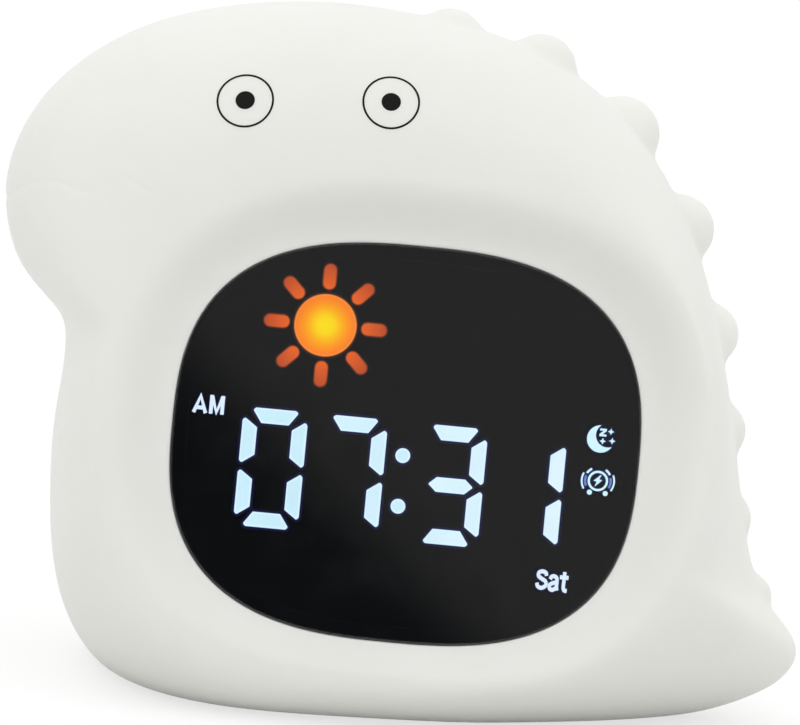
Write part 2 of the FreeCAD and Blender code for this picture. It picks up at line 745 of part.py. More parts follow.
def lamp_screw_hole(side):
    depth = float(size.small_length) - float(size.lamp_board_wall) + 0.5
    start = Vector(side * float(bracket_u()), float(size.lamp_board_v) - depth, float(lamp_middle_w()))
    return Part.makeCylinder(float(size.small_shank) + 0.05, depth + 1, start, Vector(0, 1, 0))


# Night light above the display: board, lamps, diffusing cover
def lamp_frame(u=0.0, rise=0.0):
    """Placement on the night light board: local Z up the slope, out of the board."""
    place = lens_frame(u, size.lamp_board_v + rise, lamp_middle_w())
    return place.multiply(FreeCAD.Placement(Vector(), FreeCAD.Rotation(Vector(1, 0, 0), -90)))


def make_night_light():
    board = new_body("lamp_board")
    outline = sketch_on(board, "LampBoardOutline")
    add_rounded(outline, size.lamp_board_width, size.lamp_board_depth, size.board_corner)
    for side in (-1, 1):
        add_circle(outline, size.small_shank + 0.05, side * bracket_u())
    pad(board, outline, size.lamp_board_wall)
    board.Placement = lamp_frame()

    lamp = block("lamp", FreeCAD.Placement(), size.lamp_width, size.lamp_width * 0.8, size.led_height)
    spots = [(step - (LAMP_COUNT - 1) / 2) * lamp_pitch() for step in range(LAMP_COUNT)]
    scatter("lamps", lamp, [lamp_frame(spot, size.lamp_board_wall) for spot in spots])
    screw_group("lamp_board_screws", [
        lamp_frame(side * bracket_u(), size.lamp_board_wall) for side in (-1, 1)
    ])

    shade = new_body("lamp_diffuser")
    outer = sketch_on(shade, "ShadeOutline", lift=size.lamp_board_wall)
    add_rounded(outer, size.lamp_board_width, size.lamp_board_depth, size.board_corner)
    pad(shade, outer, size.shade_height)
    inner = sketch_on(shade, "ShadeHollow", lift=size.lamp_board_wall)
    add_rounded(inner, size.lamp_board_width - 2 * size.shade_wall,
                size.lamp_board_depth - 2 * size.shade_wall, size.board_corner - size.shade_wall / 2)
    pocket(shade, inner, size.shade_height - size.shade_wall)
    shade.Placement = lamp_frame()


# Rear cover and what it carries, in the rear frame: Z runs into the clock
opening_width = 2 * size.rear_half_width
opening_height = 2 * size.rear_half_height
plate_depth = size.skin_wall + size.flange_gap
board_far = size.board_stand + size.board_depth
screw_x = size.rear_half_width - size.screw_inset_x
screw_z = size.rear_half_height - size.screw_inset_z
leg_x = size.rear_half_width - size.leg_inset
slider_x = -leg_x
board_half = leg_x + size.leg_half
tab_half = screw_x - size.boss_radius - size.board_gap
tab_top = screw_z + size.board_gap
bridge_top = screw_z - size.boss_radius - size.board_gap
bridge_low = size.speaker_z + size.speaker_radius + size.speaker_wall + size.board_gap + 0.3
leg_inner = leg_x - size.leg_half
leg_low = -(screw_z - size.boss_radius - size.board_gap)
switch_top = size.board_stand - size.switch_height
plunger_top = switch_top - size.plunger_stand
slider_top = size.board_stand - size.slider_case_depth


def charge_lamp_place():
    """Above the charging socket's outer end, clear of the last key."""
    return (leg_x + size.socket_width / 2 - 0.5, size.leg_item_z + size.socket_height / 2 + 3.4)


def housing_screw_places():
    return [(side * screw_x, level * screw_z) for side in (-1, 1) for level in (-1, 1)]


def board_screw_places():
    upper = [(side * (tab_half - 4.3), tab_top - 3.0) for side in (-1, 1)]
    lower = [(side * leg_x, leg_low + 3.8) for side in (-1, 1)]
    return upper + lower


def key_places():
    middle = (len(KEY_NAMES) - 1) / 2
    return [(size.key_pitch * (place - middle), size.key_row) for place in range(len(KEY_NAMES))]


def make_rear_cover():
    cover = new_body("rear_cover")
    plate = sketch_on(cover, "CoverPlate")
    grip = 2 * size.fit_gap
    add_rounded(plate, opening_width - grip, opening_height - grip, size.rear_corner - size.fit_gap)
    pad(cover, plate, plate_depth)
    flange = sketch_on(cover, "CoverFlange", lift=plate_depth)
    reach = 2 * size.cover_flange
    add_rounded(flange, opening_width + reach, opening_height + reach, size.rear_corner + size.cover_flange)
    pad(cover, flange, size.flange_depth)
    hollow = sketch_on(cover, "CoverHollow", lift=size.cover_face)
    rim = 2 * size.cover_rim
    add_rounded(hollow, opening_width - rim, opening_height - rim, size.rear_corner - size.cover_rim)
    pocket(cover, hollow, plate_depth + size.flange_depth - size.cover_face)

    tubes = sketch_on(cover, "ScrewTubes", lift=size.cover_face)
    for x, z in housing_screw_places():
        add_circle(tubes, size.boss_radius, x, z)
    pad(cover, tubes, size.joint_depth - size.cover_face)
    stands = sketch_on(cover, "BoardStands", lift=size.cover_face)
    for x, z in board_screw_places():
        add_circle(stands, size.standoff_radius, x, z)
    pad(cover, stands, size.board_stand - size.cover_face)
    for side in (-1, 1):
        add_saddle(cover, side)
    ring = sketch_on(cover, "SpeakerRing", lift=size.cover_face)
    add_circle(ring, size.speaker_radius + 0.3 + size.speaker_wall, 0.0, size.speaker_z)
    add_circle(ring, size.speaker_radius + 0.3, 0.0, size.speaker_z)
    pad(cover, ring, size.speaker_depth + 0.6)
    cut_cover_holes(cover)
    cover.Placement = rear_frame()


def cut_cover_holes(cover):
    wide = sketch_on(cover, "ScrewHeadHoles")
    narrow = sketch_on(cover, "ScrewHoles")
    for x, z in housing_screw_places():
        add_circle(wide, size.screw_head + 0.3, x, z)
        add_circle(narrow, size.screw_shank + 0.2, x, z)
    pocket(cover, wide, size.joint_depth - size.boss_end)
    pocket(cover, narrow, size.joint_depth + 1)
    grip = size.small_length - size.board_depth + 0.6
    pilots = sketch_on(cover, "BoardScrewHoles", lift=size.board_stand - grip)
    for x, z in board_screw_places():
        add_circle(pilots, size.small_shank + 0.05, x, z)
    pocket(cover, pilots, grip + 1)
    keys = sketch_on(cover, "KeyHoles")
    for x, z in key_places():
        add_circle(keys, size.key_radius + size.key_clearance, x, z)
    add_circle(keys, size.pipe_radius + 0.05, *charge_lamp_place())
    pocket(cover, keys, size.cover_face + 0.2)
    slots = sketch_on(cover, "SliderAndSocketSlots")
    add_rectangle(slots, size.slider_width + size.slider_travel + 0.6, size.slider_height + 0.5,
                  slider_x, size.leg_item_z)
    add_rounded(slots, size.socket_width + 0.5, size.socket_height + 0.5, size.socket_height / 2,
                leg_x, size.leg_item_z)
    pocket(cover, slots, size.cover_face + 0.2)
    middle = sketch_on(cover, "SoundHole")
    add_circle(middle, size.grille_hole, 0.0, size.speaker_z)
    pocket(cover, middle, size.cover_face + 0.2)
    for ring in range(1, 4):
        hole = sketch_on(cover, f"SoundHoleRing{ring}")
        hole.AttachmentOffset = FreeCAD.Placement(Vector(0, float(size.speaker_z), 0), FreeCAD.Rotation())
        bind(hole, ".AttachmentOffset.Base.y", size.speaker_z)
        add_circle(hole, size.grille_hole, size.grille_pitch * ring)
        first = pocket(cover, hole, size.cover_face + 0.2)
        turn = cover.newObject("PartDesign::PolarPattern", f"SoundHoles{ring}")
        turn.Originals = [first]
        turn.Axis = (hole, ["N_Axis"])
        turn.Angle = 360
        turn.Occurrences = 6 * ring
        cover.Tip = turn


def add_saddle(cover, side):
    """Bracket from the cover's rim forward round the battery cell."""
    sketch = sketch_on(cover, "Saddle" + ("Left" if side < 0 else "Right"), "YZ_Plane",
                       lift=side * size.saddle_span - size.saddle_depth / 2)
    height = size.cell_z - size.rear_centre_z
    inward = size.rear_panel_y - size.cell_y
    radius = size.cell_radius + size.fit_gap
    rim_low = -(size.rear_half_height + size.cover_flange)
    rim_high = -(size.rear_half_height - size.cover_rim)
    add_polygon(sketch, [
        (rim_low + 1.0, plate_depth + 1.0), (rim_high - 0.3, plate_depth + 1.0),
        (height + radius + 1.5, inward - radius - 2.0), (height + radius + 1.5, inward + radius + 1.2),
        (height - radius * 0.75, inward + radius + 1.2), (height - radius - 1.2, inward + radius * 0.6),
        (height - radius - 1.2, inward - radius * 0.6), (height - radius * 0.6, inward - radius - 3.5),
    ])
    add_circle(sketch, radius, height, inward)
    pad(cover, sketch, size.saddle_depth)


def make_keys():
    for name, (x, z) in zip(KEY_NAMES, key_places()):
        cap = new_body("key_" + name)
        collar = size.cover_face + size.seat_gap
        revolve(cap, f"Key{name.title()}Side", [
            (0.0, 0.4 - size.key_proud), (size.key_radius * 0.6, 0.2 - size.key_proud),
            (size.key_radius - 0.7, -size.key_proud), (size.key_radius - 0.3, -size.key_proud),
            (size.key_radius, 0.4 - size.key_proud), (size.key_radius, collar),
            (size.key_radius + size.key_flange, collar), (size.key_radius + size.key_flange, collar + 1.1),
            (size.plunger_radius, collar + 1.1), (size.plunger_radius, plunger_top), (0.0, plunger_top),
        ])
        cap.Placement = rear_frame(x, z)
        plunger = new_body("plunger_" + name)
        profile = sketch_on(plunger, f"Plunger{name.title()}", lift=plunger_top)
        add_circle(profile, size.plunger_radius)
        pad(plunger, profile, size.plunger_stand + size.plunger_hidden)
        plunger.Placement = rear_frame(x, z)

    case = block("switch_case", FreeCAD.Placement(), size.switch_side, size.switch_side, size.switch_height,
                 low=switch_top)
    bore = sketch_on(case, "SwitchBore", lift=switch_top)
    add_circle(bore, size.plunger_radius + 0.1)
    pocket(case, bore, size.plunger_hidden + size.key_travel + 0.2)
    scatter("key_switches", case, [rear_frame(x, z) for x, z in key_places()])


def make_power_switch():
    knob = new_body("power_slider")
    spot = size.slider_travel / 2
    ridge = sketch_on(knob, "SliderRidge", lift=-0.8)
    add_rectangle(ridge, size.slider_width, size.slider_height, spot)
    pad(knob, ridge, size.cover_face + 0.8 + 2 * size.seat_gap)
    plate = sketch_on(knob, "SliderPlate", lift=size.cover_face + size.seat_gap)
    add_rectangle(plate, size.slider_width + 2 * size.slider_travel + 1.2, size.slider_height + 2.0, spot)
    pad(knob, plate, 1.0)
    lever = sketch_on(knob, "SliderLever", lift=size.cover_face + 1.0)
    add_rectangle(lever, size.lever_width, size.lever_width * 0.9, spot)
    pad(knob, lever, slider_top + 0.9 - size.cover_face - 1.0)
    knob.Placement = rear_frame(slider_x, size.leg_item_z)

    case = block("power_switch_case", rear_frame(slider_x, size.leg_item_z), size.slider_case_width,
                 size.slider_case_height, size.slider_case_depth, low=slider_top)
    slot = sketch_on(case, "SliderSlot", lift=slider_top)
    add_rectangle(slot, size.lever_width + size.slider_travel + 0.4, size.lever_width * 0.9 + 0.4)
    pocket(case, slot, 1.2)


def make_main_board():
    board = new_body("main_board")
    outline = sketch_on(board, "MainBoardOutline", lift=size.board_stand)
    add_polygon(outline, [
        (board_half, leg_low), (board_half, bridge_top), (tab_half, bridge_top), (tab_half, tab_top),
        (-tab_half, tab_top), (-tab_half, bridge_top), (-board_half, bridge_top), (-board_half, leg_low),
        (-leg_inner, leg_low), (-leg_inner, bridge_low), (leg_inner, bridge_low), (leg_inner, leg_low),
    ])
    for x, z in board_screw_places():
        add_circle(outline, size.small_shank + 0.05, x, z)
    pad(board, outline, size.board_depth)
    board.Placement = rear_frame()
    screw_group("main_board_screws", [rear_frame(x, z, board_far) for x, z in board_screw_places()])

    frame = rear_frame()
    middle = (bridge_low + bridge_top) / 2
    long, wide, tall = size.chip_length, size.chip_width, size.chip_height
    block("clock_chip", frame, long, wide, tall, slider_x + size.clock_chip_step, middle, board_far)
    block("sound_chip", frame, wide, wide * 0.8, tall, size.sound_chip_x, middle, board_far)
    block("main_ribbon_socket", frame, size.ribbon_width + 3, size.ribbon_socket_depth, tall,
          0.0, middle + 2.0, board_far)
    part = block("small_part", FreeCAD.Placement(), 2.0, 1.25, size.led_height)
    spots = [(x, tab_top - y) for x in (2.0, 5.2, 8.4) for y in (1.8, 4.4)]
    scatter("board_components", part, [rear_frame(x, z, board_far) for x, z in spots])
    lying("quartz_crystal", 1.0, 6.0, slider_x, middle)
    lying("tap_sensor", size.tap_radius, 9.0, leg_x, middle)


def lying(label, radius, length, x, z):
    """Round part lying across on the main board's far side."""
    body = new_body(label)
    sketch = sketch_on(body, label + "Round", "YZ_Plane", lift=x - length / 2)
    add_circle(sketch, radius, z, board_far + radius)
    pad(body, sketch, length)
    body.Placement = rear_frame()


def make_charging():
    socket = new_body("usb_socket")
    shell = sketch_on(socket, "SocketShell", lift=size.socket_sink)
    add_rounded(shell, size.socket_width, size.socket_height, size.socket_height * 0.45)
    pad(socket, shell, size.board_stand - size.socket_sink)
    mouth = sketch_on(socket, "SocketMouth", lift=size.socket_sink)
    add_rounded(mouth, size.socket_width - 0.6, size.socket_height - 0.6, size.socket_height * 0.38)
    pocket(socket, mouth, 6.5)
    tongue = sketch_on(socket, "SocketTongue", lift=size.socket_sink + 0.8)
    add_rectangle(tongue, size.socket_width - 2.3, 0.7)
    pad(socket, tongue, 6.0)
    socket.Placement = rear_frame(leg_x, size.leg_item_z)

    block("charge_led", rear_frame(*charge_lamp_place()), 1.25, 2.0, size.led_height,
          low=size.board_stand - size.led_height)
    pipe = new_body("charge_light_pipe")
    collar = size.cover_face + size.seat_gap
    end = size.board_stand - size.led_height - 0.3
    radius = size.pipe_radius
    revolve(pipe, "PipeSide", [
        (0.0, -0.2), (radius * 0.7, -0.1), (radius, 0.0), (radius, collar),
        (radius + 0.8, collar), (radius + 0.8, collar + 1), (radius, collar + 1),
        (radius, end), (0.0, end),
    ])
    pipe.Placement = rear_frame(*charge_lamp_place())


def make_speaker():
    frame = rear_frame(0.0, size.speaker_z)
    rim = size.cover_face + size.foam_depth
    seat = rim + 0.3
    radius, bottom = size.speaker_radius, seat + size.speaker_depth
    gasket = new_body("speaker_gasket")
    ring = sketch_on(gasket, "SpeakerGasketRing", lift=size.cover_face)
    add_circle(ring, radius - 0.4)
    add_circle(ring, radius - 2.2)
    pad(gasket, ring, size.foam_depth)
    gasket.Placement = frame
    basket = new_body("speaker_frame")
    revolve(basket, "SpeakerBasket", [
        (radius, seat), (radius, seat + 1.2), (radius - 1.4, seat + 1.2), (radius - 4.7, bottom),
        (0.0, bottom), (0.0, bottom - 1.0), (radius - 5.3, bottom - 1.0), (radius - 1.9, seat + 0.7),
        (radius - 1.9, seat),
    ])
    basket.Placement = frame
    cone = new_body("speaker_cone")
    revolve(cone, "SpeakerConeSide", [
        (radius - 0.6, rim), (radius - 0.6, seat), (radius - 2.3, seat), (radius * 0.36, seat + 2.4),
        (0.0, seat + 1.4), (0.0, seat + 1.1), (radius * 0.36, seat + 2.05), (radius - 2.2, rim),
    ])
    cone.Placement = frame
    magnet = new_body("speaker_magnet")
    revolve(magnet, "SpeakerMagnetSide", [
        (0.0, bottom), (size.magnet_radius - 0.4, bottom), (size.magnet_radius, bottom + 0.4),
        (size.magnet_radius, bottom + size.magnet_depth), (0.0, bottom + size.magnet_depth),
    ])
    magnet.Placement = frame


def make_battery():
    cell = new_body("battery_cell")
    can = sketch_on(cell, "CellCan", "YZ_Plane", lift=-size.cell_length / 2)
    add_circle(can, size.cell_radius)
    pad(cell, can, size.cell_length)
    nub = sketch_on(cell, "CellNub", "YZ_Plane", lift=size.cell_length / 2)
    add_circle(nub, size.cell_radius * 0.3)
    pad(cell, nub, 0.8)
    middle = Vector(float(size.rear_centre_x), float(size.cell_y), float(size.cell_z))
    cell.Placement = FreeCAD.Placement(middle, FreeCAD.Rotation())

    frame = rear_frame(leg_x, size.leg_item_z)
    socket = block("battery_socket", frame, 6.4, 4.6, size.plug_depth, low=board_far)
    hollow = sketch_on(socket, "BatterySocketHollow", lift=board_far + 2.0)
    add_rectangle(hollow, 5.2, 3.4)
    pocket(socket, hollow, size.plug_depth)
    block("battery_plug", frame, 5.0, 3.2, size.plug_depth, low=board_far + 2.1)


def screw_up():
    heads = dict(head=size.screw_head, shank=size.screw_shank, length=size.screw_length,
                 head_depth=size.screw_head_depth)
    turned = FreeCAD.Placement(Vector(), FreeCAD.Rotation(Vector(1, 0, 0), 180))
    screw_group("housing_screws", [
        rear_frame(x, z, size.joint_depth - size.boss_end).multiply(turned)
        for x, z in housing_screw_places()
    ], **heads)
    plug = new_body("screw_plug")
    lip = size.screw_head + 0.2
    revolve(plug, "PlugSide", [(0.0, 0.1), (size.screw_head, 0.1), (lip, 0.4), (lip, 2.6), (0.0, 2.6)])
    scatter("screw_plugs", plug, [rear_frame(x, z) for x, z in housing_screw_places()])


# Leads and the display ribbon: straight runs joined by tangent arcs
def route(points):
    """Wire through the points, with an arc at each corner as large as its runs allow."""
    edges = []
    start = points[0]
    for before, corner, after in zip(points, points[1:], points[2:]):
        arriving, leaving = (before - corner), (after - corner)
        shorter = min(arriving.Length, leaving.Length)
        back = 0.45 * shorter
        arriving.normalize()
        leaving.normalize()
        first, last = corner + arriving * back, corner + leaving * back
        half_turn = arriving.getAngle(leaving) / 2
        inward = (arriving + leaving).normalize()
        radius = back * math.tan(half_turn)
        middle = corner + inward * (back / math.cos(half_turn) - radius)
        edges.append(Part.LineSegment(start, first).toShape())
        edges.append(Part.Arc(first, middle, last).toShape())
        start = last
    edges.append(Part.LineSegment(start, points[-1]).toShape())
    return Part.Wire(edges)


def lead(points):
    """Round lead along a route."""
    path = route(points)
    circle = Part.Circle(points[0], points[1] - points[0], float(size.wire_radius))
    return path.makePipeShell([Part.Wire([circle.toShape()])], True, True)


def make_leads():
    plug_y = float(size.rear_panel_y - board_far - size.plug_depth) - 2.1
    plug_x = float(size.rear_centre_x + leg_x)
    plug_z = float(size.rear_centre_z + size.leg_item_z)
    cell_end = float(size.rear_centre_x + size.cell_length / 2)
    cell_y, cell_z = float(size.cell_y), float(size.cell_z)
    pair = []
    for side, drop in ((-1, 4.6), (1, -4.6)):
        x = plug_x + 1.2 * side
        pair.append(lead([
            Vector(x, plug_y, plug_z), Vector(x, plug_y - 6, plug_z), Vector(x + 6, cell_y - 6, plug_z - 11),
            Vector(cell_end + 4.5 + 0.8 * side, cell_y - 5 + side, cell_z + 13),
            Vector(cell_end + 4.5 + 0.8 * side, cell_y + side, cell_z + drop),
            Vector(cell_end, cell_y + side, cell_z + drop),
        ]))
    shaped("battery_leads", Part.makeCompound(pair))

    seat = float(size.cover_face + size.foam_depth + size.speaker_depth) + 0.3
    far = float(board_far)
    pair = []
    for drop in (0.0, 3.4):
        z = float(leg_low) + 1.2 + drop * 1.9
        start_x, pad_x = -float(size.magnet_radius) - 1.0, -float(leg_inner) - 1.6
        pair.append(lead([
            on_rear(start_x, z, seat), on_rear(start_x, z, far + 2.4),
            on_rear(pad_x, z, far + 2.4), on_rear(pad_x, z, far),
        ]))
    shaped("speaker_leads", Part.makeCompound(pair))

    pair = []
    for side in (-1, 1):
        u = -8.0 + 0.8 * side
        x = float(size.lens_centre_x) + u
        board_y, board_z = float(size.rear_panel_y) - far, float(size.rear_centre_z + tab_top) - 2.5
        start = on_lens(u, size.lamp_board_v, lamp_middle_w())
        pair.append(lead([
            start, on_lens(u, size.lamp_board_v - 2.6, lamp_middle_w()),
            Vector(x, board_y - 16, board_z + 9), Vector(x, board_y - 7, board_z + 4),
            Vector(x, board_y - 3, board_z), Vector(x, board_y, board_z),
        ]))
    shaped("lamp_leads", Part.makeCompound(pair))


def make_ribbon():
    u, v, w = float(ribbon_u()), float(size.ribbon_slot_v), float(board_low - size.chip_height / 2)
    socket_z = float(size.rear_centre_z + (bridge_low + bridge_top) / 2) + 0.5
    socket_y = float(size.rear_panel_y - board_far - size.chip_height / 2)
    x = float(size.rear_centre_x)
    path = route([
        on_lens(u, v + 3.0, w), on_lens(u, v, w), on_lens(u, v, w - 7.5),
        Vector(x, socket_y - 12.5, socket_z - 12.5), Vector(x, socket_y - 3.5, socket_z - 11),
        Vector(x, socket_y, socket_z - 5), Vector(x, socket_y, socket_z),
    ])
    half, thick = float(size.ribbon_width) / 2, float(size.ribbon_depth) / 2
    corners = [on_lens(u + across * half, v + 3.0, w + up * thick)
               for across, up in ((-1, -1), (1, -1), (1, 1), (-1, 1), (-1, -1))]
    shaped("display_ribbon", path.makePipeShell([Part.makePolygon(corners)], True, True))


# Soft skin: rings of points from the lens over the crest, round the ridge and in to the rear opening
def rear_reach(angle, outset=0.0):
    """Distance from the rear opening's middle to its rounded rectangle, in a direction."""
    half_x = float(size.rear_half_width) + outset
    half_z = float(size.rear_half_height) + outset
    corner = float(size.rear_corner) + outset
    across, up = abs(math.cos(angle)), abs(math.sin(angle))
    side = min(half_x / max(across, 1e-9), half_z / max(up, 1e-9))
    x, z = side * across, side * up
    if x <= half_x - corner or z <= half_z - corner:
        return side
    middle_x, middle_z = half_x - corner, half_z - corner
    along = middle_x * across + middle_z * up
    aside = middle_x ** 2 + middle_z ** 2 - along ** 2
    return along + math.sqrt(corner ** 2 - aside)


def ease(share):
    """Smooth step from 0 to 1, level at both ends."""
    return share * share * (3 - 2 * share)


def tail_pinch(angle):
    """Exponent of the side's profile: nearly round, and sharper round the tail."""
    turned = angle - math.radians(float(size.tail_direction))
    off = math.degrees(math.atan2(math.sin(turned), math.cos(turned)))
    fade = math.exp(-(off / float(size.tail_spread)) ** 2)
    return float(size.side_roundness) - float(size.tail_sharpness) * fade


def out_of_lens(v, y):
    """How far out of the lens plane a point lies that is v up its slope and at depth y."""
    lean = math.radians(float(size.lens_tilt))
    return (float(size.lens_centre_y) + v * math.sin(lean) - y) / math.cos(lean)


def up_the_slope(z, y):
    """How far up the lens' slope a point of height z and depth y lies."""
    lean = math.radians(float(size.lens_tilt))
    return (z - float(size.lens_centre_z)) * math.cos(lean) + (y - float(size.lens_centre_y)) * math.sin(lean)


def inset_outline(inset):
    """The body's outline moved inwards by the skin's wall."""
    moved = []
    count = len(OUTLINE)
    for place, (u, v) in enumerate(OUTLINE):
        before, after = OUTLINE[place - 1], OUTLINE[(place + 1) % count]
        along_u, along_v = after[0] - before[0], after[1] - before[1]
        span = math.hypot(along_u, along_v)
        moved.append((u - along_v / span * inset, v + along_u / span * inset))
    return moved


def spoke(u, v, inset):
    """Points of the skin from the lens to the rear opening, through one point of the outline."""
    angle = math.atan2(v, u)
    cos, sin = math.cos(angle), math.sin(angle)
    edge = lens_reach(angle)
    width = float(size.dish_width) + float(size.dish_rise_wave) * sin
    width += float(size.dish_side_wave) * math.cos(2 * angle)
    crest = float(size.crest_height) + float(size.crest_wave) * sin - inset
    ridge = -float(size.ridge_depth) + float(size.ridge_lean) * v
    power = 2 / tail_pinch(angle)
    points = [((edge - 0.8) * cos, (edge - 0.8) * sin, -inset)]
    for step in range(4):
        share = step / 3
        reach = edge + width * share
        points.append((reach * cos, reach * sin, -inset + (crest + inset) * ease(share)))
    reach, rim = math.hypot(u, v), edge + width
    for step in range(1, 7):
        turn = math.radians(15 * step)
        out, up = math.sin(turn) ** power, max(0.0, math.cos(turn)) ** power
        points.append(((rim + (reach - rim) * out) * cos, (rim + (reach - rim) * out) * sin,
                       ridge + (crest - ridge) * up))
    return points + rear_spoke(u, v, ridge, power, inset)


def rear_spoke(u, v, ridge, power, inset):
    """The rear half of a spoke, from the ridge to just inside the rear opening."""
    outer = on_lens(u, v, ridge)
    centre_x, centre_z = float(size.rear_centre_x), float(size.rear_centre_z)
    angle = math.atan2(outer.z - centre_z, outer.x - centre_x)
    crest_y = float(size.rear_panel_y + size.rear_crest_rise) - inset
    panel_y = float(size.rear_panel_y) - inset
    spots = []
    slope = float(size.rear_crest_width)
    for outset, y in ((slope, crest_y), (slope * 2 / 3, None), (slope / 3, None), (-0.8, panel_y)):
        share = (slope - outset) / slope
        if y is None:
            y = crest_y + (panel_y - crest_y) * ease(share)
        reach = rear_reach(angle, outset)
        z = centre_z + reach * math.sin(angle)
        height = up_the_slope(z, y)
        across = centre_x + reach * math.cos(angle) - float(size.lens_centre_x)
        spots.append((across, height, out_of_lens(height, y)))
    crest = spots[0]
    points = []
    for step in range(1, 7):
        turn = math.radians(15 * step)
        back, side = math.sin(turn) ** power, max(0.0, math.cos(turn)) ** power
        points.append((crest[0] + (u - crest[0]) * side, crest[1] + (v - crest[1]) * side,
                       ridge + (crest[2] - ridge) * back))
    return points + spots[1:]


def settle(z, ground):
    """Height of the skin where it spreads on the ground: flat below, with a soft turn."""
    blend = float(size.ground_blend)
    if z > ground + blend:
        return z
    if z < ground - blend:
        return ground
    return ground + (z - ground + blend) ** 2 / (4 * blend)


def body_solid(inset):
    """The dinosaur's body, shrunk by inset, as one loft through rings of points."""
    ground = inset if inset else -0.15
    spokes = [spoke(u, v, inset) for u, v in inset_outline(inset)]
    wires = []
    for station in range(len(spokes[0])):
        ring = [on_lens(*points[station]) for points in spokes]
        for point in ring:
            point.z = settle(point.z, ground)
        curve = Part.BSplineCurve()
        curve.interpolate(Points=ring, PeriodicFlag=True)
        wires.append(Part.Wire([curve.toShape()]))
    return Part.makeLoft(wires, True, False, False)


def rear_slab(low, high):
    """Prism through the skin's rear opening, in the rear frame."""
    body = doc.addObject("PartDesign::Body", "OpeningTool")
    sketch = sketch_on(body, "OpeningToolOutline", lift=low)
    add_rounded(sketch, opening_width, opening_height, size.rear_corner)
    pad(body, sketch, high - low)
    doc.recompute()
    shape = body.Shape.copy()
    shape.Placement = rear_frame()
    return shape


def make_skin():
    outer = body_solid(0.0)
    bumps = []
    for u, v, radius in BUMPS:
        middle = on_lens(u, v, -float(size.ridge_depth) + float(size.ridge_lean) * v)
        bumps.append(Part.makeSphere(radius, middle))
    outer = outer.fuse(bumps)
    below = Part.makeBox(400, 400, 100, Vector(-200, -200, -100))
    hole = lens_slab(size.fit_gap, -10.0, 10.0)
    hole.Placement = lens_frame()
    inner = body_solid(float(size.skin_wall))
    shaped("silicone_skin", outer.cut([below, inner, hole, rear_slab(-4.0, 8.0)]))


def write_nodes():
    """Check every object and every piece, then write one file for each piece."""
    doc.recompute()
    for item in doc.Objects:
        if "Invalid" in item.State or "Error" in item.State:
            raise ValueError(f"{item.Label} failed: {item.State}")
    os.makedirs("parts", exist_ok=True)
    for label, item in nodes.items():
        shape = item.Shape
        if shape.isNull() or not shape.isValid() or shape.Volume <= 0:
            raise ValueError(f"{label} has no valid shape")
    for label, item in nodes.items():
        item.Shape.exportStep(f"parts/{label}.step")
    print(len(nodes), "pieces")


make_skin()
make_display()
make_front_frame()
make_night_light()
make_rear_cover()
make_keys()
make_power_switch()
make_main_board()
make_charging()
make_speaker()
make_battery()
screw_up()
make_leads()
make_ribbon()
write_nodes()
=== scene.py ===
import math

import bmesh
import bpy
import numpy as np
from mathutils import Matrix, Vector
from mathutils.bvhtree import BVHTree


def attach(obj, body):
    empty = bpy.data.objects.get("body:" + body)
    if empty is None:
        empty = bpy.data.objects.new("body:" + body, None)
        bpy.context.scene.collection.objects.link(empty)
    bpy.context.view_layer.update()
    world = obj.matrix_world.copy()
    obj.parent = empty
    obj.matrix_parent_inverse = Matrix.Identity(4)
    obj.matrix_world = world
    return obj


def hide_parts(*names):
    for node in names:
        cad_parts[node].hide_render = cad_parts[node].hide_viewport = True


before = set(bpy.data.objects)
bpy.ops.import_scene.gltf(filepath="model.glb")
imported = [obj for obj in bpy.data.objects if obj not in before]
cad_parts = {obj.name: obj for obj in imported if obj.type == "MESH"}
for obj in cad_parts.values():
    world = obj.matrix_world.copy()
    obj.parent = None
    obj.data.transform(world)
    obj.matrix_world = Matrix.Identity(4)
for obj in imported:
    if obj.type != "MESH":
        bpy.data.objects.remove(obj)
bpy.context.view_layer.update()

bl_info = {
    "name": "Dinosaur Alarm Clock",
    "version": (1, 0, 0),
    "blender": (4, 5, 0),
    "location": "3D View > Sidebar > Clock",
    "description": "Soft skin, printed eyes, lit display and finishes of a bedside clock",
    "category": "Object",
}

MM = 0.001

# Places and sizes in millimetres, the same as the solids have
LENS_MIDDLE = (1.0, -24.9, 47.3)
LENS_LEAN = math.radians(12.0)
LENS_HALF_WIDTH = 38.5
LENS_HALF_HEIGHT = 32.65
LENS_SQUARENESS = 2.71
LENS_DEPTH = 1.8
LENS_GAP = 0.15
SKIN_WALL = 2.4
DISH_WIDTH, DISH_RISE_WAVE, DISH_SIDE_WAVE = 9.8, 2.5, 1.1
CREST_HEIGHT, CREST_WAVE = 3.9, 1.7
RIDGE_DEPTH, RIDGE_LEAN = 30.1, 0.127
GROUND_BLEND, GROUND_SINK = 1.4, 0.15
SIDE_POWER = 2.1
TAIL_SHARPNESS, TAIL_DIRECTION, TAIL_SPREAD = 0.55, -25, 22
BASE_FULLNESS, BASE_DIRECTION, BASE_SPREAD = 1.1, -112, 35
LIP_ROUND = 0.45
BUMP_FILLET = 1.3
INK_DEPTH, INK_SINK = 0.05, 0.02
MARK_LIFT, MARK_LETTER, MARK_HEIGHT = 0.04, 0.9, 1.5

# How far off the surface the rays start that lay ink and marks on it
LENS_PROBE, SKIN_PROBE, REAR_PROBE = 60.0, 5, 6.0
OPENING_MIDDLE = (-2.0, 50.0)
OPENING_HALF = (34.0, 29.0)
OPENING_CORNER = 21.0
REAR_FACE_Y, REAR_CREST_RISE, REAR_CREST_WIDTH = 31.5, 3.0, 7.5
KEY_SPACING, KEY_RISE = 10.0, 9.0
SIDE_ITEM_SPAN, SIDE_MARK_DROP, SWITCH_MARK_SPAN = 22.75, 5.2, 2.6

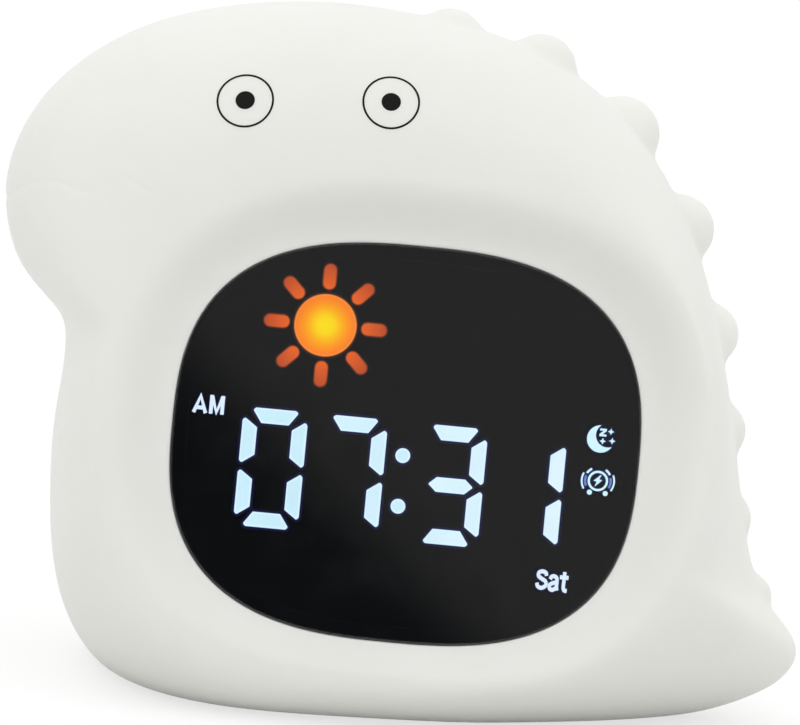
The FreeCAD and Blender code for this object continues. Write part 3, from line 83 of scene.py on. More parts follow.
# Outline of the body on its middle plane, across and up the lens' slope from the lens' middle
OUTLINE = [
    (0.0, -46.7), (16.0, -45.8), (25.0, -44.7), (36.0, -43.2), (48.4, -40.8), (56.0, -38.5),
    (61.9, -35.7), (66.2, -32.4), (67.9, -28.4), (66.5, -25.1), (62.6, -20.8), (58.8, -13.2),
    (55.6, 0.0), (52.2, 15.3), (47.5, 31.0), (38.8, 48.0), (25.0, 61.9), (8.2, 69.0),
    (-4.0, 71.0), (-19.2, 71.7), (-32.7, 70.2), (-46.4, 66.3), (-58.8, 58.8), (-67.2, 48.2),
    (-70.0, 37.1), (-69.0, 30.0), (-66.1, 23.6), (-61.8, 19.0), (-58.6, 15.4), (-57.7, 10.6),
    (-58.3, 0.0), (-58.2, -10.3), (-57.1, -20.8), (-54.2, -31.3), (-47.9, -40.2), (-38.0, -45.3),
    (-26.6, -47.2), (-13.0, -47.2),
]

# Bumps down the back: across, up the slope, radius
BUMPS = [
    (1.0, 66.8, 5.8), (16.4, 63.8, 6.0), (30.7, 54.5, 6.4), (41.7, 39.7, 5.9),
    (48.0, 22.9, 5.3), (51.0, 7.2, 5.0), (54.0, -7.2, 4.3), (59.3, -19.6, 3.6),
]

# The mouth: a wavy line from the tip of the snout inwards
MOUTH = [
    (-72.0, 33.6), (-69.5, 34.7), (-65.6, 37.2), (-61.7, 37.7), (-58.4, 36.8), (-55.4, 36.5),
    (-53.0, 38.2), (-50.8, 39.6), (-48.2, 38.4), (-44.8, 37.5), (-42.6, 38.9), (-41.3, 41.2),
]

EYES = {"left": (-31.7, 54.0), "right": (-7.7, 56.0)}

# The display's legends, across and up the slope from the lens' middle
DIGIT_MIDDLES = (-21.75, -8.55, 8.05, 21.15)
DIGIT_ROW = -6.1
DIGIT_WIDTH, DIGIT_HEIGHT = 8.3, 17.2
LIT_STROKES = {"0": "abcdef", "7": "abc", "3": "abcdg", "1": "bc"}
SUN = (-15.0, 18.3)
RAY_REACH, RAY_LENGTH, RAY_WIDTH = 8.07, 4.15, 2.02
KEY_NAMES = ("set", "up", "down", "alarm", "light")

# The photograph's frame, in its own pixels
PICTURE_WIDTH = 800
LENS_MIDDLE_PX = (405.4, 444.3)
VIEW_MIDDLE_PX = (400.0, 362.5)


def on_lens(u, v, w):
    """Point, in metres, across, up the slope and out of the lens plane, given in millimetres."""
    x = LENS_MIDDLE[0] + u
    y = LENS_MIDDLE[1] + v * math.sin(LENS_LEAN) - w * math.cos(LENS_LEAN)
    z = LENS_MIDDLE[2] + v * math.cos(LENS_LEAN) + w * math.sin(LENS_LEAN)
    return np.stack(np.broadcast_arrays(x, y, z), axis=-1) * MM


LENS_AXES = Matrix((
    (1, 0, 0),
    (0, math.sin(LENS_LEAN), -math.cos(LENS_LEAN)),
    (0, math.cos(LENS_LEAN), math.sin(LENS_LEAN)),
))


def lens_matrix(u, v, w):
    """Placement on the lens with X across, Y up the slope and Z out."""
    return Matrix.Translation(Vector(on_lens(u, v, w))) @ LENS_AXES.to_4x4()


def srgb(red, green, blue):
    """Linear colour from the usual 0 to 255 values."""
    channels = [channel / 255 for channel in (red, green, blue)]
    return tuple(c / 12.92 if c <= 0.04045 else ((c + 0.055) / 1.055) ** 2.4 for c in channels)


# Shader expressions
class Value:
    """A shader socket that takes part in arithmetic."""

    def __init__(self, finish, socket):
        self.finish = finish
        self.socket = socket

    def __add__(self, other):
        return self.finish.math("ADD", self, other)

    __radd__ = __add__

    def __rsub__(self, other):
        return self.finish.math("SUBTRACT", other, self)

    def __mul__(self, other):
        return self.finish.math("MULTIPLY", self, other)

    __rmul__ = __mul__


class Finish:
    """One material and its nodes."""

    def __init__(self, name, tree=None):
        if tree is None:
            self.material = bpy.data.materials.new(name)
            self.material.use_nodes = True
            tree = self.material.node_tree
        self.tree = tree
        tree.nodes.clear()

    def node(self, kind, settings=None, inputs=None):
        item = self.tree.nodes.new(kind)
        for name, setting in (settings or {}).items():
            setattr(item, name, setting)
        for name, value in (inputs or {}).items():
            if isinstance(value, Value):
                self.tree.links.new(value.socket, item.inputs[name])
            else:
                item.inputs[name].default_value = value
        return item

    def out(self, item, name):
        return Value(self, item.outputs[name])

    def math(self, operation, first, second=0.0):
        item = self.node("ShaderNodeMath", {"operation": operation}, {0: first, 1: second})
        return self.out(item, "Value")

    def place(self):
        """Position on the piece, in metres of the clock's own frame."""
        return self.out(self.node("ShaderNodeTexCoord"), "Object")

    def seen_directly(self):
        """1 for what the camera, a reflection or a clear piece shows, 0 for what lights the object."""
        path = self.node("ShaderNodeLightPath")
        rays = [self.out(path, f"Is {kind} Ray") for kind in ("Camera", "Glossy", "Transmission")]
        return self.math("MINIMUM", rays[0] + rays[1] + rays[2], 1.0)

    def axis(self, vector, name):
        """One part of a vector."""
        return self.out(self.node("ShaderNodeSeparateXYZ", None, {"Vector": vector}), name)

    def noise(self, grain, detail=2.0, roughness=0.5):
        """Noise from 0 to 1 whose patches are about one grain across, in millimetres."""
        item = self.node("ShaderNodeTexNoise", None, {
            "Vector": self.place(), "Scale": 1.0 / (grain * MM), "Detail": detail, "Roughness": roughness,
        })
        return self.out(item, "Fac")

    def between(self, value, low, high, start=0.0, end=1.0):
        """Smooth passage from start to end as the value goes from low to high."""
        item = self.node("ShaderNodeMapRange", {"interpolation_type": "SMOOTHSTEP"}, {
            "Value": value, "From Min": low, "From Max": high, "To Min": start, "To Max": end,
        })
        return self.out(item, "Result")

    def mix(self, share, first, second):
        """Colour between two colours."""
        item = self.node("ShaderNodeMix", {"data_type": "RGBA"}, {"Factor": share})
        for name, colour in (("A", first), ("B", second)):
            socket = [s for s in item.inputs if s.name == name and s.type == "RGBA"][0]
            if isinstance(colour, Value):
                self.tree.links.new(colour.socket, socket)
            else:
                socket.default_value = (*colour, 1.0)
        return Value(self, [s for s in item.outputs if s.type == "RGBA"][0])

    def bump(self, height, distance, strength=1.0):
        """Surface relief; height goes from 0 to 1 and distance is in millimetres."""
        item = self.node("ShaderNodeBump", None, {
            "Height": height, "Distance": distance * MM, "Strength": strength,
        })
        return self.out(item, "Normal")

    def surface(self, **inputs):
        """The shader itself, with socket names in lower case and underscores."""
        shader = self.node("ShaderNodeBsdfPrincipled")
        for name, value in inputs.items():
            title = {"ior": "IOR", "specular": "Specular IOR Level"}.get(name, name.replace("_", " ").title())
            if isinstance(value, Value):
                self.tree.links.new(value.socket, shader.inputs[title])
            elif isinstance(value, (tuple, list)) and title != "Subsurface Radius":
                shader.inputs[title].default_value = (*value, 1.0)
            else:
                shader.inputs[title].default_value = value
        end = self.node("ShaderNodeOutputMaterial")
        self.tree.links.new(shader.outputs["BSDF"], end.inputs["Surface"])
        return self.material


def shade_of(colour, factor):
    return tuple(min(1.0, channel * factor) for channel in colour[:3])


def moulded(name, colour, grain=0.35, relief=0.012, roughness=0.5, spread=0.05, **more):
    """Moulded plastic or rubber: fine spark texture, faint mottling and uneven gloss."""
    finish = Finish(name)
    mottle = finish.noise(9.0, 3.0)
    fine = finish.noise(grain, 3.0, 0.6)
    dark, pale = shade_of(colour, 1 - spread), shade_of(colour, 1 + spread)
    return finish.surface(
        base_color=finish.mix(finish.between(mottle, 0.3, 0.7), dark, pale),
        roughness=finish.between(fine, 0.3, 0.7, roughness - 0.06, roughness + 0.06),
        normal=finish.bump(fine, relief),
        **more,
    )


def metal(name, colour, roughness=0.32):
    """Plated or pressed metal with fine drawn lines and slight tarnish."""
    finish = Finish(name)
    stretch = 12.0
    lines = finish.node("ShaderNodeMapping", None, {
        "Vector": finish.place(), "Scale": (1.0, stretch, stretch),
    })
    drawn = finish.node("ShaderNodeTexNoise", None, {
        "Vector": finish.out(lines, "Vector"), "Scale": 400.0, "Detail": 2.0,
    })
    streak = finish.out(drawn, "Fac")
    tarnish = finish.between(finish.noise(3.0, 3.0), 0.35, 0.75)
    return finish.surface(
        base_color=finish.mix(tarnish, shade_of(colour, 1.05), shade_of(colour, 0.85)),
        metallic=1.0,
        roughness=finish.between(streak, 0.3, 0.7, roughness - 0.08, roughness + 0.1),
        normal=finish.bump(streak, 0.004),
    )


def circuit(name, colour):
    """Solder mask over copper: lighter tracks on a green board."""
    finish = Finish(name)
    cells = finish.node("ShaderNodeTexVoronoi", {"distance": "MANHATTAN", "feature": "F1"}, {
        "Vector": finish.place(), "Scale": 420.0,
    })
    tracks = finish.between(finish.out(cells, "Distance"), 0.42, 0.5)
    weave = finish.noise(0.5)
    return finish.surface(
        base_color=finish.mix(tracks, colour, shade_of(colour, 1.9)),
        roughness=finish.between(weave, 0.3, 0.7, 0.3, 0.42),
        normal=finish.bump(tracks, 0.03),
    )


# Meshes
def add_piece(name, vertices, faces, material, body="root", smooth=True):
    """New mesh piece from vertices in metres, which rides on a body."""
    mesh = bpy.data.meshes.new(name)
    mesh.from_pydata([tuple(map(float, vertex)) for vertex in vertices], [], faces)
    mesh.validate()
    piece = bpy.data.objects.new(name, mesh)
    bpy.context.scene.collection.objects.link(piece)
    if smooth:
        mesh.shade_smooth()
    mesh.materials.append(material)
    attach(piece, body)
    return piece


def grid_faces(rings, count, closed=False):
    """Quads between rings of count points each; closed also joins the last ring to the first."""
    faces = []
    for ring in range(rings if closed else rings - 1):
        following = (ring + 1) % rings
        for place in range(count):
            beside = (place + 1) % count
            faces.append((
                ring * count + place, ring * count + beside,
                following * count + beside, following * count + place,
            ))
    return faces


def coat(material, *names):
    """Give CAD nodes a finish."""
    for name in names:
        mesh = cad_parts[name].data
        mesh.materials.clear()
        mesh.materials.append(material)


def closed_spline(points, lengths):
    """Cubic spline through closed points, sampled at distances along it."""
    points = np.array(points, float)
    count = len(points)
    spans = np.linalg.norm(np.roll(points, -1, 0) - points, axis=1)
    before = np.roll(spans, 1)
    matrix = np.diag(2 * (spans + before))
    for place in range(count):
        matrix[place, place - 1] += before[place]
        matrix[place, (place + 1) % count] += spans[place]
    slope = (np.roll(points, -1, 0) - points) / spans[:, None]
    bend = np.linalg.solve(matrix, 6 * (slope - np.roll(slope, 1, 0)))
    starts = np.concatenate([[0.0], np.cumsum(spans)])
    span = np.clip(np.searchsorted(starts, lengths, side="right") - 1, 0, count - 1)
    share = lengths - starts[span]
    left = spans[span] - share
    following = (span + 1) % count
    width = spans[span][:, None]
    share, left = share[:, None], left[:, None]
    return (
        bend[span] * left ** 3 / (6 * width) + bend[following] * share ** 3 / (6 * width)
        + (points[span] / width - bend[span] * width / 6) * left
        + (points[following] / width - bend[following] * width / 6) * share
    )


def outline_length(points):
    points = np.array(points, float)
    return float(np.linalg.norm(np.roll(points, -1, 0) - points, axis=1).sum())


# The soft skin
def lens_reach(angle, outset=0.0):
    across = np.abs(np.cos(angle)) / (LENS_HALF_WIDTH + outset)
    up = np.abs(np.sin(angle)) / (LENS_HALF_HEIGHT + outset)
    return (across ** LENS_SQUARENESS + up ** LENS_SQUARENESS) ** (-1 / LENS_SQUARENESS)


def opening_reach(angle, outset=0.0):
    """Distance from the rear opening's middle to its rounded rectangle, in each direction."""
    half_x, half_z, corner = OPENING_HALF[0] + outset, OPENING_HALF[1] + outset, OPENING_CORNER + outset
    across, up = np.abs(np.cos(angle)), np.abs(np.sin(angle))
    side = np.minimum(half_x / np.maximum(across, 1e-9), half_z / np.maximum(up, 1e-9))
    flat = (side * across <= half_x - corner) | (side * up <= half_z - corner)
    along = (half_x - corner) * across + (half_z - corner) * up
    aside = (half_x - corner) ** 2 + (half_z - corner) ** 2 - along ** 2
    return np.where(flat, side, along + np.sqrt(np.maximum(corner ** 2 - aside, 0)))


def ease(share):
    return share * share * (3 - 2 * share)


def bell(angle, middle, width):
    """1 in one direction, in degrees, and fading on both sides of it."""
    off = np.degrees(np.angle(np.exp(1j * (angle - math.radians(middle)))))
    return np.exp(-(off / width) ** 2)


def side_power(angle):
    """Exponent of the side's curve: nearly round, sharper round the tail and fuller along the base."""
    tail = TAIL_SHARPNESS * bell(angle, TAIL_DIRECTION, TAIL_SPREAD)
    base = BASE_FULLNESS * bell(angle, BASE_DIRECTION, BASE_SPREAD)
    return 2 / (SIDE_POWER - tail + base)


def settle(points, ground):
    """Let the skin spread on the ground: flat below, with a soft turn above."""
    height = points[..., 2] / MM
    blended = ground + (height - ground + GROUND_BLEND) ** 2 / (4 * GROUND_BLEND)
    above = np.where(height > ground + GROUND_BLEND, height, blended)
    height = np.where(height < ground - GROUND_BLEND, ground, above)
    points[..., 2] = np.maximum(height, 0.0) * MM
    return points


def skin_rings(outline, inset, start, dish_shares, turns, rear_outsets):
    """Rings of the skin from the lens over the crest and round the side to the rear opening."""
    u, v = outline[:, 0], outline[:, 1]
    angle = np.arctan2(v, u)
    cos, sin = np.cos(angle), np.sin(angle)
    edge = lens_reach(angle)
    width = DISH_WIDTH + DISH_RISE_WAVE * sin + DISH_SIDE_WAVE * np.cos(2 * angle)
    crest = CREST_HEIGHT + CREST_WAVE * sin - inset
    ridge = -RIDGE_DEPTH + RIDGE_LEAN * v
    power = side_power(angle)
    rings = []
    for share in dish_shares:
        reach = edge + start + (width - start) * share
        rise = ease((reach - edge) / width)
        rings.append(on_lens(reach * cos, reach * sin, -inset + (crest + inset) * rise))
    rim, reach = edge + width, np.hypot(u, v)
    for turn in turns:
        out, up = math.sin(turn) ** power, math.cos(turn) ** power
        far = rim + (reach - rim) * out
        rings.append(on_lens(far * cos, far * sin, ridge + (crest - ridge) * up))
    outer = on_lens(u, v, ridge)
    rear_angle = np.arctan2(outer[:, 2] / MM - OPENING_MIDDLE[1], outer[:, 0] / MM - OPENING_MIDDLE[0])

    def rear_ring(outset, y):
        reach = opening_reach(rear_angle, outset)
        x = OPENING_MIDDLE[0] + reach * np.cos(rear_angle)
        z = OPENING_MIDDLE[1] + reach * np.sin(rear_angle)
        return np.stack([x, np.full_like(x, y), z], axis=-1) * MM

    crest_y, panel_y = REAR_FACE_Y + REAR_CREST_RISE - inset, REAR_FACE_Y - inset
    rear_crest = rear_ring(REAR_CREST_WIDTH, crest_y)
    out_axis = np.array(LENS_AXES.col[2])
    level = ridge * MM
    crest_out = (rear_crest - on_lens(0.0, 0.0, 0.0)) @ out_axis
    flat_outer = outer - level[:, None] * out_axis
    flat_crest = rear_crest - crest_out[:, None] * out_axis
    for turn in turns[1:]:
        back, side = (math.sin(turn) ** power)[:, None], (max(0.0, math.cos(turn)) ** power)[:, None]
        along = flat_crest + (flat_outer - flat_crest) * side
        rings.append(along + (level[:, None] + (crest_out - level)[:, None] * back) * out_axis)
    for outset in rear_outsets:
        share = (REAR_CREST_WIDTH - outset) / REAR_CREST_WIDTH
        rings.append(rear_ring(outset, crest_y + (panel_y - crest_y) * ease(share)))
    return np.array(rings)


def inset_outline(outline, inset):
    along = np.roll(outline, -1, 0) - np.roll(outline, 1, 0)
    along /= np.linalg.norm(along, axis=1)[:, None]
    return outline + np.stack([-along[:, 1], along[:, 0]], axis=1) * inset


def spoke_places(count):
    """Distances along the outline: closer together where the mouth and the bumps are."""
    total = outline_length(OUTLINE)
    even = np.linspace(0, total, 4000, endpoint=False)
    points = closed_spline(OUTLINE, even)
    angle = np.degrees(np.arctan2(points[:, 1], points[:, 0]))
    density = np.ones(len(even))
    density += 2.6 * np.exp(-((angle - 144) / 10) ** 4)
    density += 0.5 * np.exp(-((angle - 35) / 65) ** 4)
    filled = np.concatenate([[0.0], np.cumsum(density)])
    filled /= filled[-1]
    return np.interp(np.arange(count) / count, filled, np.append(even, total))


def outward(rings):
    """Unit normals of a closed grid of rings, away from its inside."""
    across = np.roll(rings, -1, 1) - np.roll(rings, 1, 1)
    along = np.gradient(rings, axis=0)
    normal = np.cross(across, along)
    normal /= np.maximum(np.linalg.norm(normal, axis=2), 1e-12)[..., None]
    return normal


def raise_bumps(rings, normals, blend):
    """Lift the skin on to the bumps, with a soft fillet where they meet."""
    for u, v, radius in BUMPS:
        middle = on_lens(u, v, -RIDGE_DEPTH + RIDGE_LEAN * v)
        near = np.linalg.norm(rings - middle, axis=2) < (radius + 4.0) * MM
        points, normal = rings[near], normals[near]
        lift = np.full(len(points), (radius + 1.0) * MM)
        for step in range(60):
            ball = np.linalg.norm(points + normal * lift[:, None] - middle, axis=1) - radius * MM
            blended = np.maximum(blend * MM - np.abs(lift - ball), 0) / (blend * MM)
            lift -= 0.9 * (np.minimum(lift, ball) - blended ** 2 * blend * MM / 4)
        rings[near] = points + normal * np.maximum(lift, 0)[:, None]
    return rings


def distance_to_line(points, line):
    """Distance from each point to a line of straight runs, and how far along it is."""
    best = np.full(len(points), 1e9)
    where = np.zeros(len(points))
    for number, (start, end) in enumerate(zip(line, line[1:])):
        run = end - start
        share = np.clip(((points - start) @ run) / (run @ run), 0, 1)
        gap = np.linalg.norm(points - start - share[:, None] * run, axis=1)
        closer = gap < best
        best = np.where(closer, gap, best)
        where = np.where(closer, number + share, where)
    return best, where / (len(line) - 1)


def engrave_mouth(rings, normals, depth, width):
    """Press the mouth's line into the front of the snout."""
    knots = np.array(MOUTH)
    stations = np.linspace(0, len(knots) - 1, 120)
    smooth = np.stack([catmull(knots[:, axis], stations) for axis in (0, 1)], axis=1)
    flat = (rings - on_lens(0.0, 0.0, 0.0)) / MM
    u, v = flat[..., 0], flat @ np.array(LENS_AXES.col[1])
    front = normals @ np.array(LENS_AXES.col[2]) > -0.35
    near = front & (u < -38) & (v > 30) & (v < 46)
    gap, share = distance_to_line(np.stack([u[near], v[near]], axis=1), smooth)
    fade = np.clip((1 - share) / 0.12, 0, 1)
    tip = np.clip(1 - share / 0.14, 0, 1) ** 2
    press = depth * np.exp(-(gap / (width / 2)) ** 2) * ease(fade) * (0.2 + 0.8 * tip)
    rings[near] -= normals[near] * (press * MM)[:, None]
    return rings


def catmull(values, stations):
    """Smooth curve through values at whole stations."""
    padded = np.concatenate([[2 * values[0] - values[1]], values, [2 * values[-1] - values[-2]]])
    low = np.clip(stations.astype(int), 0, len(values) - 2)
    share = stations - low
    a, b, c, d = (padded[low + step] for step in range(4))
    return b + 0.5 * share * (c - a + share * (2 * a - 5 * b + 4 * c - d + share * (3 * (b - c) + d - a)))


def skin_material(settings):
    """Satin white silicone: softly translucent, with a dusty bloom and faint mottling."""
    finish = Finish("White silicone")
    colour = tuple(settings.skin_colour)
    cloud = finish.between(finish.noise(26.0, 3.0), 0.3, 0.7)
    bloom = finish.noise(1.6, 4.0, 0.6)
    grain = finish.noise(0.22, 2.0)
    tint = finish.mix(cloud, shade_of(colour, 0.985), shade_of(colour, 1.01))
    rough = settings.skin_roughness
    return finish.surface(
        base_color=tint,
        roughness=finish.between(bloom, 0.3, 0.7, rough - 0.05, rough + 0.05),
        normal=finish.bump(grain + bloom * 0.6, 0.006),
        specular=0.35,
        subsurface_weight=settings.skin_glow,
        subsurface_radius=(1.0, 0.93, 0.8),
        subsurface_scale=2.5 * MM,
        sheen_weight=0.08,
        sheen_roughness=0.5,
    )


def build_skin(settings):
    """The whole skin as one closed mesh: lens wall, lip, outside, rear lip and hidden inside."""
    places = spoke_places(settings.skin_detail)
    outline = closed_spline(OUTLINE, places)
    dish_shares = np.linspace(0, 1, 27)[:-1]
    turns = np.linspace(0, math.pi / 2, 49)
    outsets = np.linspace(REAR_CREST_WIDTH, LIP_ROUND, 12)[1:]
    rings = skin_rings(outline, 0.0, LENS_GAP + LIP_ROUND, dish_shares, turns, outsets)
    rings = settle(rings, -GROUND_SINK)
    normals = outward(rings)
    middle = rings.mean(axis=(0, 1))
    if ((rings - middle) * normals).sum() < 0:
        normals = -normals
    rings = raise_bumps(rings, normals, BUMP_FILLET)
    rings = engrave_mouth(rings, normals, settings.mouth_depth, settings.mouth_width)
    rings[..., 2] = np.maximum(rings[..., 2], 0.0)

    angle = np.arctan2(outline[:, 1], outline[:, 0])
    edge = lens_reach(angle) + LENS_GAP
    quarter_turn = np.linspace(0, math.pi / 2, 5)
    lips = []
    for turn in quarter_turn[:-1]:
        reach = edge + LIP_ROUND * (1 - math.cos(turn))
        lips.append(on_lens(reach * np.cos(angle), reach * np.sin(angle), LIP_ROUND * (math.sin(turn) - 1)))
    wall = [on_lens(edge * np.cos(angle), edge * np.sin(angle), w) for w in (-SKIN_WALL, -SKIN_WALL * 0.5)]
    last = rings[-1]
    rear_middle = np.array([OPENING_MIDDLE[0] * MM, 0.0, OPENING_MIDDLE[1] * MM])
    inwards = rear_middle - last
    inwards[:, 1] = 0
    inwards /= np.linalg.norm(inwards, axis=1)[:, None]
    steps = [(LIP_ROUND * (1 - math.cos(turn)), LIP_ROUND * math.sin(turn)) for turn in quarter_turn[1:]]
    steps += [(SKIN_WALL * 0.5, LIP_ROUND), (SKIN_WALL, LIP_ROUND)]
    rear = []
    for drop, shift in steps:
        ring = last + inwards * shift * MM
        ring[:, 1] = (REAR_FACE_Y - drop) * MM
        rear.append(ring)

    inner = skin_rings(
        inset_outline(outline, SKIN_WALL), SKIN_WALL, LENS_GAP + LIP_ROUND, np.linspace(0, 1, 6)[:-1],
        np.linspace(0, math.pi / 2, 11), np.linspace(REAR_CREST_WIDTH, 0.3, 4)[1:],
    )
    inner = settle(inner, SKIN_WALL)[::-1]
    every = np.concatenate([np.array(wall), np.array(lips), rings, np.array(rear), inner])
    count = every.shape[1]
    faces = grid_faces(len(every), count, closed=True)
    piece = add_piece("skin", every.reshape(-1, 3), faces, skin_material(settings))
    face_outwards(piece.data)
    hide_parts("silicone_skin")


def face_outwards(mesh):
    """Turn a closed mesh's faces so that they look outwards."""
    shell = bmesh.new()
    shell.from_mesh(mesh)
    if shell.calc_volume(signed=True) < 0:
        bmesh.ops.reverse_faces(shell, faces=shell.faces)
    shell.to_mesh(mesh)
    shell.free()


# Printed eyes
def tree_of(piece):
    mesh = piece.data
    vertices = [vertex.co.copy() for vertex in mesh.vertices]
    return BVHTree.FromPolygons(vertices, [tuple(face.vertices) for face in mesh.polygons])


def printed(name, tree, spot, radii, material, filled=False):
    """Thin layer of ink between rings round a spot, laid on the skin's surface."""
    across, out = (Vector(LENS_AXES.col[axis]) for axis in (0, 2))
    start = Vector(on_lens(spot[0], spot[1], LENS_PROBE))
    middle, normal, _, _ = tree.ray_cast(start, -out)
    first = (across - normal * across.dot(normal)).normalized()
    second = normal.cross(first)
    steps = 144
    layers = {0.0: [], INK_DEPTH: []}
    for height, layer in layers.items():
        for radius in radii:
            for step in range(steps):
                turn = 2 * math.pi * step / steps
                point = middle + (first * math.cos(turn) + second * math.sin(turn)) * radius * MM
                hit, slope, _, _ = tree.ray_cast(point + normal * SKIN_PROBE * MM, -normal)
                layer.append(hit + slope * (height - INK_SINK) * MM)
    low, high = (np.array(layer).reshape(len(radii), steps, 3) for layer in layers.values())
    rings = np.concatenate([low, high[::-1]])
    faces = grid_faces(len(rings), steps, closed=not filled)
    if filled:
        faces.append(tuple(range(steps))[::-1])
        faces.append(tuple(range((len(rings) - 1) * steps, len(rings) * steps)))
    piece = add_piece(name, rings.reshape(-1, 3), faces, material)
    face_outwards(piece.data)


# Lit legends behind the lens
def loop_offset(loop, distance):
    """A convex anticlockwise loop moved outwards by a distance."""
    loop = np.array(loop, float)
    before, after = loop - np.roll(loop, 1, 0), np.roll(loop, -1, 0) - loop
    left = np.stack([before[:, 1], -before[:, 0]], 1) / np.linalg.norm(before, axis=1)[:, None]
    right = np.stack([after[:, 1], -after[:, 0]], 1) / np.linalg.norm(after, axis=1)[:, None]
    mean = left + right
    mean /= np.linalg.norm(mean, axis=1)[:, None]
    stretch = 1 / np.maximum((mean * left).sum(1), 0.5)
    return loop + mean * (distance * stretch)[:, None]


def anticlockwise(loop):
    loop = np.array(loop, float)
    area = (loop[:, 0] * np.roll(loop[:, 1], -1) - loop[:, 1] * np.roll(loop[:, 0], -1)).sum()
    return loop if area > 0 else loop[::-1]


class Glow:
    """Flat lit shapes gathered into one mesh, with a light colour at every vertex."""

    def __init__(self, level):
        self.level = level
        self.points, self.colours, self.faces = [], [], []

    def ring(self, loop, colour, lift=0.0):
        start = len(self.points)
        for u, v in loop:
            self.points.append(on_lens(u, v, self.level + lift))
            self.colours.append((*(colour or (0.0, 0.0, 0.0)), 1.0))
        return list(range(start, start + len(loop)))

    def band(self, first, second):
        count = len(first)
        for place in range(count):
            beside = (place + 1) % count
            self.faces.append((first[place], first[beside], second[beside], second[place]))

    def shape(self, loop, layers):
        """Nested rings of one convex loop: (offset, colour) from the innermost outwards."""
        loop = anticlockwise(loop)
        rings = [self.ring(loop_offset(loop, offset), colour) for offset, colour in layers]
        self.faces.append(tuple(rings[0]))
        for inner, outer in zip(rings, rings[1:]):
            self.band(outer, inner)

    def plate(self, points, faces, colour, lift):
        """Flat shape in one colour."""
        start = len(self.points)
        self.ring(points, colour, lift)
        self.faces += [tuple(start + corner for corner in face) for face in faces]

    def piece(self, name, material, thickness=0.01):
        """Close the flat shapes into thin plates, dark underneath, as one piece."""
        out = np.array(LENS_AXES.col[2]) * thickness * MM
        under = [point - out for point in self.points]
        vertices, faces = closed_plate(self.points, under, [list(face) for face in self.faces])
        piece = add_piece(name, vertices, faces, material, smooth=False)
        colours = self.colours + [(0.0, 0.0, 0.0, 1.0)] * len(self.points)
        lights = piece.data.color_attributes.new("Light", "FLOAT_COLOR", "POINT")
        lights.data.foreach_set("color", np.array(colours, np.float32).ravel())


def glow_material(name, strength):
    """Backlit window: the light comes from the colour at each vertex."""
    finish = Finish(name)
    light = finish.out(finish.node("ShaderNodeAttribute", {"attribute_name": "Light"}), "Color")
    return finish.surface(
        base_color=(0.01, 0.01, 0.012), roughness=0.5, emission_color=light, emission_strength=strength,
    )


def bar_stroke():
    """Outline of a digit's middle stroke."""
    tip, shoulder, half = 3.6, 2.35, 1.22
    return [(-tip, 0.1), (-tip, -0.1), (-shoulder, -half), (shoulder, -half),
            (tip, -0.1), (tip, 0.1), (shoulder, half), (-shoulder, half)]


def edge_stroke():
    """Outline of one of a digit's outer strokes lying along X, its outer side up."""
    reach = 3.72
    return [(-reach + 1.45, -1.26), (reach - 1.45, -1.26), (reach - 0.05, 0.72), (reach - 0.1, 0.95),
            (reach - 0.42, 1.22), (-reach + 0.42, 1.22), (-reach + 0.1, 0.95), (-reach + 0.05, 0.72)]


def turned(loop, degrees, shift):
    angle = math.radians(degrees)
    spin = np.array([[math.cos(angle), -math.sin(angle)], [math.sin(angle), math.cos(angle)]])
    return np.array(loop) @ spin.T + np.array(shift)


def digit_strokes(middle):
    """Every stroke of a digit by its letter: a on top, round clockwise to f, g in the middle."""
    half, quarter = DIGIT_WIDTH / 2, DIGIT_HEIGHT / 4
    edge, bar = edge_stroke(), bar_stroke()
    places = {
        "a": (edge, 0, 0, 2), "b": (edge, 270, 1, 1), "c": (edge, 270, 1, -1), "d": (edge, 180, 0, -2),
        "e": (edge, 90, -1, -1), "f": (edge, 90, -1, 1), "g": (bar, 0, 0, 0),
    }
    return {
        letter: turned(loop, degrees, (middle + side * half, DIGIT_ROW + level * quarter))
        for letter, (loop, degrees, side, level) in places.items()
    }


def circle_loop(middle, radius, count=48):
    turns = [2 * math.pi * step / count for step in range(count)]
    return [(middle[0] + radius * math.cos(turn), middle[1] + radius * math.sin(turn)) for turn in turns]


def capsule_loop(length, width, count=12):
    radius, half = width / 2, length / 2 - width / 2
    loop = []
    for side, start, end in ((half, -math.pi / 2, math.pi / 2), (-half, math.pi / 2, 1.5 * math.pi)):
        turns = np.linspace(start, end, count)
        loop += [(side + radius * math.cos(turn), radius * math.sin(turn)) for turn in turns]
    return loop


LEGEND_LEVEL = -(LENS_DEPTH - 0.02)


def lit_layers(settings, whiteness=0.0):
    """Light of a white legend from its middle outwards: fill, rim, blue fringe, dark."""
    fill = tuple(channel + (1 - channel) * whiteness for channel in settings.fill_colour)
    rim, fringe = tuple(settings.rim_colour), tuple(settings.fringe_colour)
    return [
        (-0.42, fill), (-0.16, rim), (-0.03, rim), (0.03, fringe), (0.2, shade_of(fringe, 0.45)),
        (0.5, (0.0, 0.0, 0.0)),
    ]


def closed_plate(top, bottom, faces):
    """Vertices and faces of a thin closed plate between two matching sets of points."""
    count = len(top)
    sides = {}
    for face in faces:
        for first, second in zip(face, face[1:] + face[:1]):
            if (second, first) in sides:
                del sides[(second, first)]
            else:
                sides[(first, second)] = True
    walls = [(second, first, first + count, second + count) for first, second in sides]
    under = [tuple(corner + count for corner in face[::-1]) for face in faces]
    return list(top) + list(bottom), [tuple(face) for face in faces] + under + walls


